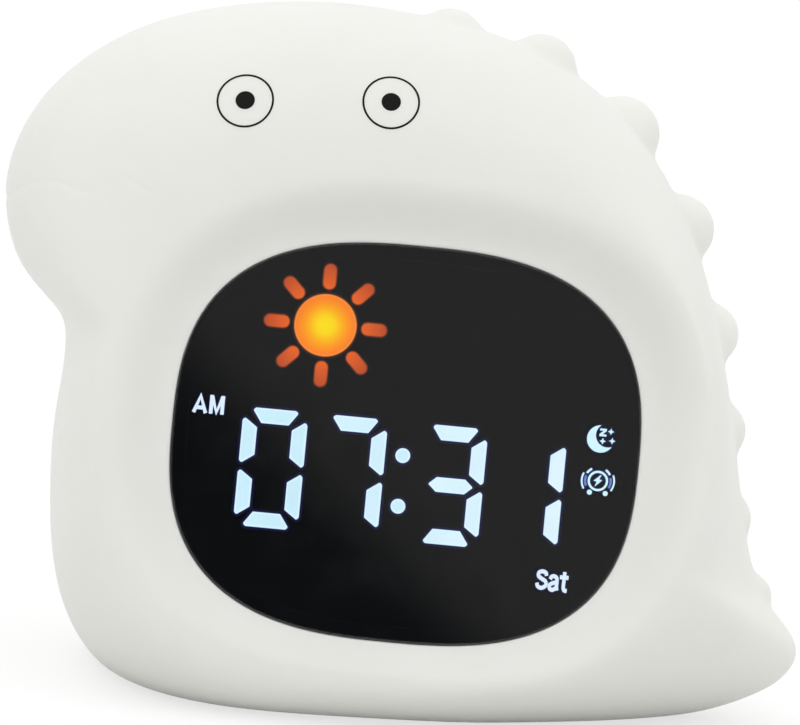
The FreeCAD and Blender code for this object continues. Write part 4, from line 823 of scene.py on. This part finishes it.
def flat_shape(loops=None, words=None, weight=0.0):
    """Flat polygons, filled by even and odd, or letters: points and faces."""
    curve = bpy.data.curves.new("flat_shape", "FONT" if words else "CURVE")
    if words:
        curve.body = words
        curve.resolution_u = 6
    else:
        curve.dimensions = "2D"
        curve.fill_mode = "BOTH"
        for loop in loops:
            spline = curve.splines.new("POLY")
            spline.points.add(len(loop) - 1)
            for point, (x, y) in zip(spline.points, loop):
                point.co = (x, y, 0.0, 1.0)
            spline.use_cyclic_u = True
    curve.offset = weight
    holder = bpy.data.objects.new("flat_shape", curve)
    bpy.context.scene.collection.objects.link(holder)
    bpy.context.view_layer.update()
    mesh = bpy.data.meshes.new_from_object(holder.evaluated_get(bpy.context.evaluated_depsgraph_get()))
    shell = bmesh.new()
    shell.from_mesh(mesh)
    bmesh.ops.remove_doubles(shell, verts=shell.verts, dist=1e-5)
    for face in shell.faces:
        if face.normal.z < 0:
            face.normal_flip()
    shell.verts.index_update()
    points = np.array([tuple(vertex.co)[:2] for vertex in shell.verts])
    faces = [[vertex.index for vertex in face.verts] for face in shell.faces]
    shell.free()
    bpy.data.objects.remove(holder)
    return points, faces


def fitted(points, width, height):
    """Points moved and stretched to fill a width and height round the origin."""
    low, high = points.min(0), points.max(0)
    return (points - (low + high) / 2) / (high - low) * np.array([width, height])


def arc_band(radius, thickness, start, end, steps=14):
    """Loop of a curved bar about the middle, between two directions in degrees."""
    turns = [math.radians(start + (end - start) * step / steps) for step in range(steps + 1)]
    outer, inner = radius + thickness / 2, radius - thickness / 2
    outside = [(outer * math.cos(turn), outer * math.sin(turn)) for turn in turns]
    inside = [(inner * math.cos(turn), inner * math.sin(turn)) for turn in reversed(turns)]
    return outside + inside


def moved(loop, x, y):
    return [(point[0] + x, point[1] + y) for point in loop]


def star_loop(middle, radius):
    """Four-pointed star."""
    reach = [radius, radius * 0.45]
    return [(middle[0] + reach[step % 2] * math.cos(step * math.pi / 4),
             middle[1] + reach[step % 2] * math.sin(step * math.pi / 4)) for step in range(8)]


def moon_loops():
    """Crescent, the letter z in its hollow and three small stars."""
    outer, inner, middle = 2.26, 2.0, (1.16, 0.69)
    gap = math.hypot(*middle)
    facing = math.atan2(middle[1], middle[0])
    open_outer = math.acos((gap ** 2 + outer ** 2 - inner ** 2) / (2 * gap * outer))
    open_inner = math.acos((gap ** 2 + inner ** 2 - outer ** 2) / (2 * gap * inner))
    back = [(outer * math.cos(t), outer * math.sin(t))
            for t in np.linspace(facing + open_outer, facing + 2 * math.pi - open_outer, 40)]
    hollow = [(middle[0] + inner * math.cos(t), middle[1] + inner * math.sin(t))
              for t in np.linspace(facing + math.pi + open_inner, facing + math.pi - open_inner, 30)]
    z = [(-0.55, 0.64), (0.56, 0.64), (0.56, 0.3), (-0.06, -0.3), (0.56, -0.3), (0.56, -0.64),
         (-0.6, -0.64), (-0.6, -0.3), (0.04, 0.3), (-0.55, 0.3)]
    stars = [star_loop(spot, 0.54) for spot in ((1.6, 1.34), (1.93, -0.18), (0.36, -0.33))]
    return [back + hollow, moved(z, 0.33, 1.1)] + stars


def alarm_loops():
    """Ringing clock: ring with a bolt, ears, feet and outer side arcs."""
    loops = [circle_loop((0, 0), 1.69), circle_loop((0, 0), 1.32)]
    loops.append([
        (0.36, 1.0), (-0.72, -0.02), (-0.2, -0.14), (-0.46, -0.98), (0.72, 0.16), (0.2, 0.28), (0.52, 1.0),
    ])
    for start in (31, 121):
        loops.append(arc_band(2.22, 0.36, start, start + 28))
    for start in (-33, 155):
        loops.append(arc_band(2.68, 0.3, start, start + 58))
    for x, y in ((-1.22, -1.98), (1.4, -1.96)):
        loops.append(circle_loop((x, y), 0.42, 20))
    return loops


def faint_loops():
    """The alarm sign's dimmer inner side arcs."""
    return [arc_band(2.12, 0.36, start, start + 46) for start in (-28, 160)]


# Letters in a box one capital high: the width, then each pen stroke as its kind of line and its points
LETTER_MIDDLE = 0.46
LETTERS = {
    "A": (0.94, [("straight", [(0.07, 0.0), (0.41, 0.9), (0.75, 0.0)]),
                 ("straight", [(0.2, 0.28), (0.62, 0.28)])]),
    "M": (0.9, [("straight", [(0.1, 0.0), (0.1, 1.0)]), ("straight", [(0.74, 0.0), (0.74, 1.0)]),
                ("straight", [(0.12, 0.95), (0.42, 0.1), (0.72, 0.95)])]),
    "S": (0.76, [("round", [(0.6, 0.7), (0.56, 0.84), (0.36, 0.91), (0.15, 0.84), (0.13, 0.67), (0.33, 0.54),
                            (0.57, 0.42), (0.6, 0.22), (0.36, 0.08), (0.13, 0.15), (0.07, 0.32)])]),
    "a": (0.66, [("round", [(0.08, 0.55), (0.15, 0.68), (0.3, 0.72), (0.45, 0.65), (0.49, 0.48), (0.49, 0.2),
                            (0.53, 0.02)]),
                 ("round", [(0.49, 0.42), (0.28, 0.38), (0.08, 0.27), (0.09, 0.1), (0.26, 0.03),
                            (0.49, 0.17)])]),
    "t": (0.54, [("round", [(0.25, 0.98), (0.24, 0.5), (0.24, 0.2), (0.3, 0.06), (0.46, 0.04)]),
                 ("straight", [(-0.02, 0.7), (0.5, 0.7)])]),
}


def pen_stroke(kind, points, pen):
    """Band of quads of one pen's width along a line: points and faces."""
    line = np.array(points, float)
    if kind == "round":
        stations = np.linspace(0, len(line) - 1, 6 * len(line))
        line = np.stack([catmull(line[:, axis], stations) for axis in (0, 1)], axis=1)
    runs = np.diff(line, axis=0)
    runs /= np.linalg.norm(runs, axis=1)[:, None]
    before, after = np.vstack([runs[:1], runs]), np.vstack([runs, runs[-1:]])
    mean = before + after
    mean /= np.linalg.norm(mean, axis=1)[:, None]
    reach = pen / 2 / np.maximum((mean * before).sum(1), 0.6)[:, None]
    side = np.stack([-mean[:, 1], mean[:, 0]], axis=1) * reach
    count = len(line)
    faces = [[place, place + count, place + 1 + count, place + 1] for place in range(count - 1)]
    return np.concatenate([line + side, line - side]), faces


def written(glow, text, spot, height, stretch, layers):
    """Write words with a pen round a spot; layers are (pen, colour, lift)."""
    total = sum(LETTERS[letter][0] for letter in text)
    for pen, colour, lift in layers:
        along = -total / 2
        for letter in text:
            width, strokes = LETTERS[letter]
            for number, (kind, points) in enumerate(strokes):
                points, faces = pen_stroke(kind, points, pen)
                placed = (points + (along, -LETTER_MIDDLE)) * (height * stretch, height) + np.array(spot)
                glow.plate(placed, faces, colour, lift + 0.002 * number)
            along += width


# The property groups: what a user would change
def colour_setting(name, description, default):
    return bpy.props.FloatVectorProperty(
        name=name, description=description, size=3, subtype="COLOR", default=default, min=0.0, max=1.0)


def number_setting(name, description, default, low, high, **more):
    return bpy.props.FloatProperty(
        name=name, description=description, default=default, min=low, max=high, **more)


class ClockSkinSettings(bpy.types.PropertyGroup):
    skin_colour: colour_setting("Skin colour", "Colour of the soft silicone", srgb(241, 241, 236))
    skin_roughness: number_setting(
        "Skin roughness", "How matte the silicone is", 0.6, 0.0, 1.0, subtype="FACTOR")
    skin_glow: number_setting(
        "Skin depth", "Share of light that goes into the silicone", 0.3, 0.0, 1.0, subtype="FACTOR")
    skin_detail: bpy.props.IntProperty(
        name="Skin detail", description="Points round the body's outline", default=760, min=200, max=1500)
    mouth_depth: number_setting(
        "Mouth depth", "Depth of the mouth at the snout's tip, in millimetres", 0.5, 0.0, 2.0)
    mouth_width: number_setting("Mouth width", "Width of the mouth's line, in millimetres", 0.9, 0.1, 4.0)
    ink_colour: colour_setting("Ink colour", "Colour of the printed eyes", srgb(20, 21, 19))
    eye_radius: number_setting("Eye radius", "Middle of the eye's ring, in millimetres", 4.6, 1.0, 10.0)
    pupil_radius: number_setting("Pupil radius", "Radius of the pupil, in millimetres", 1.6, 0.3, 5.0)


class ClockDisplaySettings(bpy.types.PropertyGroup):
    lens_colour: colour_setting("Lens tint", "What the smoked lens lets through", (0.55, 0.56, 0.58))
    fill_colour: colour_setting("Legend light", "Light of the digits and signs", srgb(206, 240, 250))
    rim_colour: colour_setting("Legend rim", "Light along the edge of a stroke", srgb(222, 248, 255))
    fringe_colour: colour_setting("Legend fringe", "Blue fringe round a stroke", srgb(6, 12, 84))
    brightness: number_setting("Brightness", "Strength of the light behind the lens", 1.9, 0.0, 10.0)
    time_shown: bpy.props.StringProperty(
        name="Time", description="Four digits on the display", default="0731")


class ClockRearSettings(bpy.types.PropertyGroup):
    cover_colour: colour_setting("Cover colour", "Colour of the rear cover", srgb(234, 233, 227))
    key_colour: colour_setting("Key colour", "Colour of the keys and the slider", srgb(226, 225, 219))
    mark_colour: colour_setting("Mark colour", "Colour of the marks on the rear", srgb(112, 112, 110))


class ClockStageSettings(bpy.types.PropertyGroup):
    camera_distance: number_setting(
        "Camera distance", "From the lens to the camera", 5.0, 0.5, 20.0, subtype="DISTANCE", unit="LENGTH")
    view_width: number_setting(
        "View width", "Width of the picture at the lens", 0.132, 0.05, 1.0, subtype="DISTANCE", unit="LENGTH")
    camera_roll: bpy.props.FloatProperty(
        name="Camera roll", description="Turn of the camera about its own axis", default=math.radians(5.46),
        subtype="ANGLE", unit="ROTATION")
    room_light: number_setting("Room light", "Strength of the even light from all sides", 0.84, 0.0, 3.0)
    top_light: number_setting("Top light", "Power of the soft lamp above, in watts", 2.2, 0.0, 100.0)
    front_light: number_setting("Front light", "Power of the soft lamp in front, in watts", 0.3, 0.0, 100.0)


# The operators: one for each piece or group of like pieces, and one for the stage
class ClockMakeSkin(bpy.types.Operator):
    """Build the soft silicone body with its bumps and mouth"""
    bl_idname = "clock.make_skin"
    bl_label = "Silicone body"

    def execute(self, context):
        build_skin(context.scene.clock_skin)
        return {"FINISHED"}


class ClockPrintEyes(bpy.types.Operator):
    """Print the two eyes on the skin"""
    bl_idname = "clock.print_eyes"
    bl_label = "Printed eyes"

    def execute(self, context):
        settings = context.scene.clock_skin
        tree = tree_of(bpy.data.objects["skin"])
        ink = moulded("Black ink", tuple(settings.ink_colour), 0.15, 0.004, 0.62, 0.15, specular=0.12)
        half_line = 0.17
        for side, spot in EYES.items():
            ring = np.linspace(settings.eye_radius - half_line, settings.eye_radius + half_line, 4)
            printed(f"eye_ring_{side}", tree, spot, ring, ink)
            printed(f"pupil_{side}", tree, spot, np.linspace(0.2, settings.pupil_radius, 6), ink, filled=True)
        return {"FINISHED"}


class ClockMakeLens(bpy.types.Operator):
    """Build the smoked lens with its polished edge and finish the film behind it"""
    bl_idname = "clock.make_lens"
    bl_label = "Smoked lens"

    def execute(self, context):
        settings = context.scene.clock_display
        angle = np.linspace(0, 2 * math.pi, 240, endpoint=False)
        edge = 0.3
        depth = LENS_DEPTH - 0.06
        profile = [(-edge - 0.1, 0.0)]
        for turn in np.linspace(0, math.pi / 2, 6):
            profile.append((edge * (math.sin(turn) - 1), edge * (math.cos(turn) - 1)))
        profile += [(0.0, -depth + 0.1), (-0.1, -depth), (-0.2, -depth)]
        rings = []
        for inset, w in profile:
            reach = lens_reach(angle, inset)
            rings.append(on_lens(reach * np.cos(angle), reach * np.sin(angle), w))
        count = len(angle)
        faces = grid_faces(len(rings), count)
        faces.append(tuple(range(count))[::-1])
        faces.append(tuple(range((len(rings) - 1) * count, len(rings) * count)))
        finish = Finish("Smoked acrylic")
        smear = finish.between(finish.noise(7.0, 4.0, 0.6), 0.35, 0.75)
        material = finish.surface(
            base_color=finish.mix(smear, tuple(settings.lens_colour), shade_of(settings.lens_colour, 0.94)),
            roughness=finish.between(smear, 0.0, 1.0, 0.025, 0.06), ior=1.49, transmission_weight=1.0,
        )
        piece = add_piece("lens", np.array(rings).reshape(-1, 3), faces, material)
        face_outwards(piece.data)
        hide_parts("display_lens")
        film = Finish("Black film")
        speck = film.noise(0.3, 2.0)
        black = film.surface(
            base_color=film.mix(film.between(film.noise(14.0), 0.3, 0.7), (0.003,) * 3, (0.005,) * 3),
            roughness=film.between(speck, 0.3, 0.7, 0.45, 0.6), normal=film.bump(speck, 0.004), specular=0.1,
        )
        coat(black, "legend_film")
        self.print_border(angle, -depth - 0.01, black)
        return {"FINISHED"}

    def print_border(self, angle, level, black):
        """Black print round the back of the lens."""
        rings = []
        for inset, drop in ((-0.12, 0.0), (-2.4, 0.0), (-2.4, 0.02), (-0.12, 0.02)):
            reach = lens_reach(angle, inset)
            rings.append(on_lens(reach * np.cos(angle), reach * np.sin(angle), level - drop))
        faces = grid_faces(len(rings), len(angle), closed=True)
        vertices = np.array(rings).reshape(-1, 3)
        border = add_piece("lens_border", vertices, faces, black, smooth=False)
        face_outwards(border.data)


class ClockLightDigits(bpy.types.Operator):
    """Light the strokes of the digits and the colon"""
    bl_idname = "clock.light_digits"
    bl_label = "Lit digits"

    def execute(self, context):
        settings = context.scene.clock_display
        light = glow_material("Ice blue light", settings.brightness)
        span = DIGIT_MIDDLES[-1] - DIGIT_MIDDLES[0]
        for number, (figure, middle) in enumerate(zip(settings.time_shown, DIGIT_MIDDLES), start=1):
            glow = Glow(LEGEND_LEVEL)
            strokes = digit_strokes(middle)
            layers = lit_layers(settings, 0.35 * (middle - DIGIT_MIDDLES[0]) / span)
            for letter in LIT_STROKES[figure]:
                glow.shape(strokes[letter], layers)
            glow.piece(f"digit_{number}", light)
        colon = Glow(LEGEND_LEVEL)
        for v in (-1.9, -10.3):
            colon.shape(circle_loop((-0.25, v), 1.22), lit_layers(settings))
        colon.piece("colon", light)
        return {"FINISHED"}


class ClockLightSun(bpy.types.Operator):
    """Light the sun and its eight rays"""
    bl_idname = "clock.light_sun"
    bl_label = "Lit sun"

    def execute(self, context):
        settings = context.scene.clock_display
        material = glow_material("Amber light", settings.brightness)
        glow = Glow(LEGEND_LEVEL)
        shades = [(0.5, (255, 224, 0)), (1.4, (255, 216, 0)), (2.1, (255, 196, 0)), (2.9, (255, 172, 4)),
                  (3.6, (255, 152, 14)), (4.3, (255, 138, 24)), (4.8, (252, 128, 28)), (4.93, (255, 146, 52)),
                  (5.08, (250, 138, 50)), (5.2, (92, 34, 8)), (5.45, (12, 4, 2)), (5.6, (0, 0, 0))]
        rings = [glow.ring(circle_loop(SUN, radius, 96), srgb(*shade)) for radius, shade in shades]
        glow.faces.append(tuple(rings[0]))
        for inner, outer in zip(rings, rings[1:]):
            glow.band(outer, inner)
        near, far = np.array(srgb(232, 98, 26)), np.array(srgb(184, 72, 26))
        edges = [(-0.5, 1.0), (-0.16, 1.0), (-0.05, 0.92), (0.06, 0.3), (0.22, 0.02), (0.34, 0.0)]
        for step in range(8):
            turn = math.radians(45 * step)
            spot = (SUN[0] + RAY_REACH * math.cos(turn), SUN[1] + RAY_REACH * math.sin(turn))
            loop = anticlockwise(turned(capsule_loop(RAY_LENGTH, RAY_WIDTH), 45 * step, spot))
            rings = []
            for offset, share in edges:
                points = loop_offset(loop, offset)
                out = np.hypot(points[:, 0] - SUN[0], points[:, 1] - SUN[1])
                fade = np.clip((out - 6.2) / 3.8, 0, 1)[:, None]
                rings.append(glow.ring(points, None))
                shades = (near + (far - near) * fade) * share
                glow.colours[-len(points):] = [(*shade, 1.0) for shade in shades]
            glow.faces.append(tuple(rings[0]))
            for inner, outer in zip(rings, rings[1:]):
                glow.band(outer, inner)
        glow.piece("sun", material)
        return {"FINISHED"}


class ClockLightSigns(bpy.types.Operator):
    """Light the half day, the weekday, the sleep sign and the alarm sign"""
    bl_idname = "clock.light_signs"
    bl_label = "Lit signs"

    def execute(self, context):
        settings = context.scene.clock_display
        light = glow_material("Sign light", settings.brightness)
        white, fringe = srgb(226, 242, 255), tuple(settings.fringe_colour)
        words = (("half_day", "AM", (-32.85, 3.4), 3.1, 0.94), ("weekday", "Sat", (26.3, -20.2), 3.3, 0.84))
        for name, text, spot, height, stretch in words:
            glow = Glow(LEGEND_LEVEL)
            written(glow, text, spot, height, stretch, ((0.3, fringe, 0.0), (0.205, white, 0.012)))
            glow.piece(name + "_sign", light)
        fill, faint = shade_of(settings.fill_colour, 1.08), srgb(112, 132, 205)
        signs = {
            "sleep": ((32.0, 3.94), [(moon_loops(), fill)]),
            "alarm": ((32.2, -3.0), [(alarm_loops(), fill), (faint_loops(), faint)]),
        }
        for name, (spot, groups) in signs.items():
            glow = Glow(LEGEND_LEVEL)
            for number, (loops, colour) in enumerate(groups):
                for weight, shade, lift in ((0.16, fringe, 0.0), (0.0, colour, 0.012)):
                    points, faces = flat_shape(loops=loops, weight=weight)
                    glow.plate(points + np.array(spot), faces, shade, lift - 0.003 * number)
            glow.piece(name + "_sign", light)
        return {"FINISHED"}


class ClockFinishRear(bpy.types.Operator):
    """Finish the rear cover, its keys, slider, plugs, light pipe and marks"""
    bl_idname = "clock.finish_rear"
    bl_label = "Rear cover and keys"

    def execute(self, context):
        settings = context.scene.clock_rear
        cover = moulded(
            "Textured cover", tuple(settings.cover_colour),
            grain=0.28, relief=0.03, roughness=0.55, spread=0.02)
        keys = moulded(
            "Satin keys", tuple(settings.key_colour), grain=0.2, relief=0.008, roughness=0.42, spread=0.02)
        mark = moulded(
            "Grey ink", tuple(settings.mark_colour), grain=0.15, relief=0.003, roughness=0.45, spread=0.08)
        coat(cover, "rear_cover")
        coat(keys, "power_slider", *(f"key_{name}" for name in KEY_NAMES))
        plug = moulded("Soft plug", shade_of(settings.cover_colour, 0.95), relief=0.02, roughness=0.7)
        coat(plug, "screw_plugs")
        pipe = moulded(
            "Clear pipe", srgb(225, 232, 230), relief=0.003, roughness=0.15, transmission_weight=0.7)
        coat(pipe, "charge_light_pipe")
        self.mark_keys(mark)
        self.mark_cover(mark)
        return {"FINISHED"}

    def mark_keys(self, mark):
        ray = [(-0.16, 1.35), (-0.16, 2.0), (0.16, 2.0), (0.16, 1.35)]
        icons = {
            "set": [circle_loop((0, 0), 1.75), circle_loop((0, 0), 1.35), circle_loop((0, 0), 0.55, 24)],
            "up": [[(-1.6, -0.9), (1.6, -0.9), (0.0, 1.5)]],
            "down": [[(-1.6, 0.9), (0.0, -1.5), (1.6, 0.9)]],
            "alarm": [[(-1.7, -0.9), (1.7, -0.9), (1.2, -0.2), (1.05, 0.9), (0.5, 1.5), (0.0, 1.7),
                       (-0.5, 1.5), (-1.05, 0.9), (-1.2, -0.2)], circle_loop((0.0, -1.35), 0.38, 20)],
            "light": [circle_loop((0, 0), 0.95, 32)] + [turned(ray, 45 * step, (0, 0)) for step in range(8)],
        }
        for place, name in enumerate(KEY_NAMES):
            spot = (OPENING_MIDDLE[0] + KEY_SPACING * (place - 2), OPENING_MIDDLE[1] + KEY_RISE)
            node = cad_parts[f"key_{name}"]
            rear_mark(f"mark_{name}", icons[name], spot, tree_of(node), mark, f"{name}_key")

    def mark_cover(self, mark):
        tree = tree_of(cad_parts["rear_cover"])
        slider, socket = OPENING_MIDDLE[0] - SIDE_ITEM_SPAN, OPENING_MIDDLE[0] + SIDE_ITEM_SPAN
        row = OPENING_MIDDLE[1] - SIDE_MARK_DROP
        bolt = [(0.5, 1.5), (-0.9, -0.25), (-0.15, -0.25), (-0.5, -1.5), (0.9, 0.25), (0.15, 0.25)]
        rear_mark("mark_charge", [bolt], (socket, row), tree, mark, "root")
        for name, text, side in (("mark_on", "ON", -1), ("mark_off", "OFF", 1)):
            spot = (slider + side * SWITCH_MARK_SPAN, row)
            rear_mark(name, None, spot, tree, mark, "root", words=text)


class ClockFinishInside(bpy.types.Operator):
    """Finish the boards, lamps, speaker, battery and fasteners inside"""
    bl_idname = "clock.finish_inside"
    bl_label = "Inner pieces"

    def execute(self, context):
        coat(moulded("Black foam", srgb(30, 30, 31), grain=0.5, relief=0.12, roughness=0.9, spread=0.15),
             "lens_gasket", "speaker_gasket")
        coat(moulded("White moulding", srgb(232, 232, 228), relief=0.01, spread=0.02),
             "light_well_block", "front_frame", "main_ribbon_socket", "display_ribbon_socket",
             "battery_socket", "battery_plug")
        milky = moulded(
            "Milky resin", srgb(228, 236, 240), relief=0.004, roughness=0.3, transmission_weight=0.35)
        coat(milky, "legend_diffusers", "lamp_diffuser")
        coat(circuit("Solder mask", srgb(18, 92, 58)), "display_board", "lamp_board", "main_board")
        coat(moulded("Lamp resin", srgb(244, 224, 140), grain=0.4, roughness=0.25),
             "display_leds", "lamps", "charge_led")
        coat(moulded("Moulded chips", srgb(34, 34, 36), grain=0.15, relief=0.01, roughness=0.45),
             "display_driver_chip", "clock_chip", "sound_chip", "key_switches",
             *(f"plunger_{name}" for name in KEY_NAMES))
        coat(moulded("Fired ceramic", srgb(168, 138, 100), grain=0.2), "board_components")
        coat(metal("Plated steel", (0.60, 0.61, 0.62)), "display_board_screws", "lamp_board_screws",
             "main_board_screws", "housing_screws", "power_switch_case", "quartz_crystal")
        coat(metal("Socket shell", (0.66, 0.67, 0.68), roughness=0.25), "usb_socket")
        coat(metal("Plated brass", (0.72, 0.56, 0.27)), "tap_sensor")
        coat(metal("Black steel", (0.09, 0.09, 0.1), roughness=0.5), "speaker_frame")
        coat(metal("Magnet plating", (0.42, 0.42, 0.43), roughness=0.4), "speaker_magnet")
        coat(moulded("Pressed paper", srgb(40, 39, 38), grain=0.6, relief=0.06, roughness=0.9, spread=0.2),
             "speaker_cone")
        coat(moulded("Cell sleeve", srgb(42, 96, 160), grain=1.2, relief=0.01, roughness=0.28),
             "battery_cell")
        coat(moulded("Lead insulation", srgb(178, 34, 30), grain=0.4, roughness=0.4),
             "battery_leads", "speaker_leads", "lamp_leads")
        coat(moulded("Ribbon film", srgb(214, 216, 218), grain=0.5, roughness=0.35), "display_ribbon")
        return {"FINISHED"}


def add_card(name, half_width, half_height, material):
    """Flat rectangle round its own middle."""
    corners = [(-half_width, -half_height, 0), (half_width, -half_height, 0),
               (half_width, half_height, 0), (-half_width, half_height, 0)]
    mesh = bpy.data.meshes.new(name)
    mesh.from_pydata(corners, [], [(0, 1, 2, 3)])
    mesh.materials.append(material)
    card = bpy.data.objects.new(name, mesh)
    bpy.context.scene.collection.objects.link(card)
    return card


class ClockSetStage(bpy.types.Operator):
    """Set the floor, the soft lamps, the room's light and the camera"""
    bl_idname = "clock.set_stage"
    bl_label = "Stage"

    def execute(self, context):
        settings = context.scene.clock_stage
        self.lay_floor()
        self.light_room(settings)
        self.hang_flag()
        self.place_camera(context, settings)
        return {"FINISHED"}

    def lay_floor(self):
        finish = Finish("Pale floor")
        seen = finish.seen_directly()
        grain = finish.noise(40.0, 3.0)
        pale = finish.mix(finish.between(grain, 0.3, 0.7), (0.80, 0.80, 0.79), (0.82, 0.82, 0.81))
        plain = finish.node("ShaderNodeBsdfDiffuse", None, {"Color": pale})
        dim = finish.node("ShaderNodeBsdfDiffuse", None, {"Color": (0.34, 0.34, 0.34, 1.0)})
        glow = finish.node("ShaderNodeEmission", None, {"Color": (1, 1, 1, 1), "Strength": 0.68})
        bright = finish.node("ShaderNodeAddShader")
        finish.tree.links.new(dim.outputs[0], bright.inputs[0])
        finish.tree.links.new(glow.outputs[0], bright.inputs[1])
        both = finish.node("ShaderNodeMixShader", None, {"Fac": seen})
        finish.tree.links.new(plain.outputs[0], both.inputs[1])
        finish.tree.links.new(bright.outputs[0], both.inputs[2])
        end = finish.node("ShaderNodeOutputMaterial")
        finish.tree.links.new(both.outputs[0], end.inputs["Surface"])
        floor = add_card("floor", 12.0, 12.0, finish.material)
        floor.location.z = -0.05 * MM

    def light_room(self, settings):
        world = bpy.data.worlds.new("Soft room")
        world.use_nodes = True
        bpy.context.scene.world = world
        finish = Finish("Soft room", world.node_tree)
        way = finish.out(finish.node("ShaderNodeTexCoord"), "Generated")
        lit = (finish.axis(way, "Y") * 0.12 + finish.axis(way, "Z") * 0.16 + 1.0) * settings.room_light
        seen = finish.seen_directly()
        strength = lit * (1.0 - seen) + seen
        room = finish.node("ShaderNodeBackground", None, {"Color": (1, 1, 1, 1), "Strength": strength})
        end = finish.node("ShaderNodeOutputWorld")
        finish.tree.links.new(room.outputs[0], end.inputs["Surface"])
        lamps = (
            ("top_lamp", (0.0, -0.35, 1.25), 1.3, settings.top_light),
            ("front_lamp", (-0.5, -1.6, 0.75), 1.2, settings.front_light),
        )
        for name, place, side, power in lamps:
            lamp = bpy.data.lights.new(name, "AREA")
            lamp.shape, lamp.size, lamp.energy = "SQUARE", side, power
            holder = bpy.data.objects.new(name, lamp)
            bpy.context.scene.collection.objects.link(holder)
            holder.location = place
            aim = Vector((0.0, 0.0, 0.06)) - Vector(place)
            holder.rotation_euler = aim.to_track_quat("-Z", "Y").to_euler()
            holder.visible_camera = False

    def hang_flag(self):
        """Card that only reflections and clear pieces see, so that the lens is dark from the front."""
        finish = Finish("Dark card")
        x, y = finish.axis(finish.place(), "X"), finish.axis(finish.place(), "Y")
        lean = math.radians(50.5)
        slant = x * math.cos(lean) + y * math.sin(lean)
        step = finish.between(slant, -0.030, -0.012)
        flag = add_card("flag", 1.5, 0.9, finish.surface(
            base_color=(0.0, 0.0, 0.0), roughness=1.0, specular=0.0,
            emission_color=finish.mix(step, (0.052, 0.058, 0.07), (0.31, 0.31, 0.305)), emission_strength=1.0,
        ))
        flag.matrix_world = lens_matrix(0.0, 0.0, 1500.0)
        for kind in ("camera", "diffuse", "volume_scatter", "shadow"):
            setattr(flag, "visible_" + kind, False)

    def place_camera(self, context, settings):
        pixel = settings.view_width / PICTURE_WIDTH
        data = bpy.data.cameras.new("camera")
        camera = bpy.data.objects.new("camera", data)
        context.scene.collection.objects.link(camera)
        data.sensor_width = 36.0
        data.lens = data.sensor_width * settings.camera_distance / settings.view_width
        data.clip_start, data.clip_end = 0.1, 60.0
        right = (VIEW_MIDDLE_PX[0] - LENS_MIDDLE_PX[0]) * pixel / MM
        down = (VIEW_MIDDLE_PX[1] - LENS_MIDDLE_PX[1]) * pixel / MM
        cos, sin = math.cos(settings.camera_roll), math.sin(settings.camera_roll)
        u, v = right * cos + down * sin, right * sin - down * cos
        spot = lens_matrix(u, v, settings.camera_distance / MM)
        camera.matrix_world = spot @ Matrix.Rotation(settings.camera_roll, 4, "Z")
        context.scene.camera = camera
        context.scene.view_settings.view_transform = "Standard"


def rear_mark(name, loops, spot, tree, material, body, words=None):
    """Printed mark on the rear, read from behind, laid on what lies under it."""
    if words:
        points, faces = flat_shape(words=words, weight=0.012)
        points = fitted(points, MARK_LETTER * len(words), MARK_HEIGHT)
    else:
        points, faces = flat_shape(loops=loops)
    lift = Vector((0, MARK_LIFT * MM, 0))
    top, bottom = [], []
    for x, y in points:
        start = Vector(((spot[0] - x) * MM, (REAR_FACE_Y + REAR_PROBE) * MM, (spot[1] + y) * MM))
        hit = tree.ray_cast(start, Vector((0, -1, 0)))[0]
        top.append(hit + lift)
        bottom.append(hit - lift)
    vertices, faces = closed_plate(top, bottom, faces)
    piece = add_piece(name, vertices, faces, material, body=body, smooth=False)
    face_outwards(piece.data)


class ClockPanel(bpy.types.Panel):
    """Every step of the clock and its settings"""
    bl_idname = "CLOCK_PT_steps"
    bl_label = "Dinosaur Clock"
    bl_space_type = "VIEW_3D"
    bl_region_type = "UI"
    bl_category = "Clock"

    def draw(self, context):
        for name in SETTINGS:
            group = getattr(context.scene, name)
            box = self.layout.box()
            for setting in group.bl_rna.properties:
                if setting.identifier not in {"rna_type", "name"}:
                    box.prop(group, setting.identifier)
        for step in STEPS:
            self.layout.operator(step.bl_idname)


SETTINGS = {
    "clock_skin": ClockSkinSettings,
    "clock_display": ClockDisplaySettings,
    "clock_rear": ClockRearSettings,
    "clock_stage": ClockStageSettings,
}

STEPS = (
    ClockSetStage, ClockMakeSkin, ClockPrintEyes, ClockMakeLens, ClockLightDigits, ClockLightSun,
    ClockLightSigns, ClockFinishRear, ClockFinishInside,
)


def register():
    for group in (*SETTINGS.values(), *STEPS, ClockPanel):
        bpy.utils.register_class(group)
    for name, group in SETTINGS.items():
        setattr(bpy.types.Scene, name, bpy.props.PointerProperty(type=group))


def unregister():
    for name in SETTINGS:
        delattr(bpy.types.Scene, name)
    for group in reversed((*SETTINGS.values(), *STEPS, ClockPanel)):
        bpy.utils.unregister_class(group)


def main():
    register()
    bpy.ops.clock.set_stage()
    bpy.ops.clock.make_skin()
    bpy.ops.clock.print_eyes()
    bpy.ops.clock.make_lens()
    bpy.ops.clock.light_digits()
    bpy.ops.clock.light_sun()
    bpy.ops.clock.light_signs()
    bpy.ops.clock.finish_rear()
    bpy.ops.clock.finish_inside()


if __name__ == "__main__":
    main()
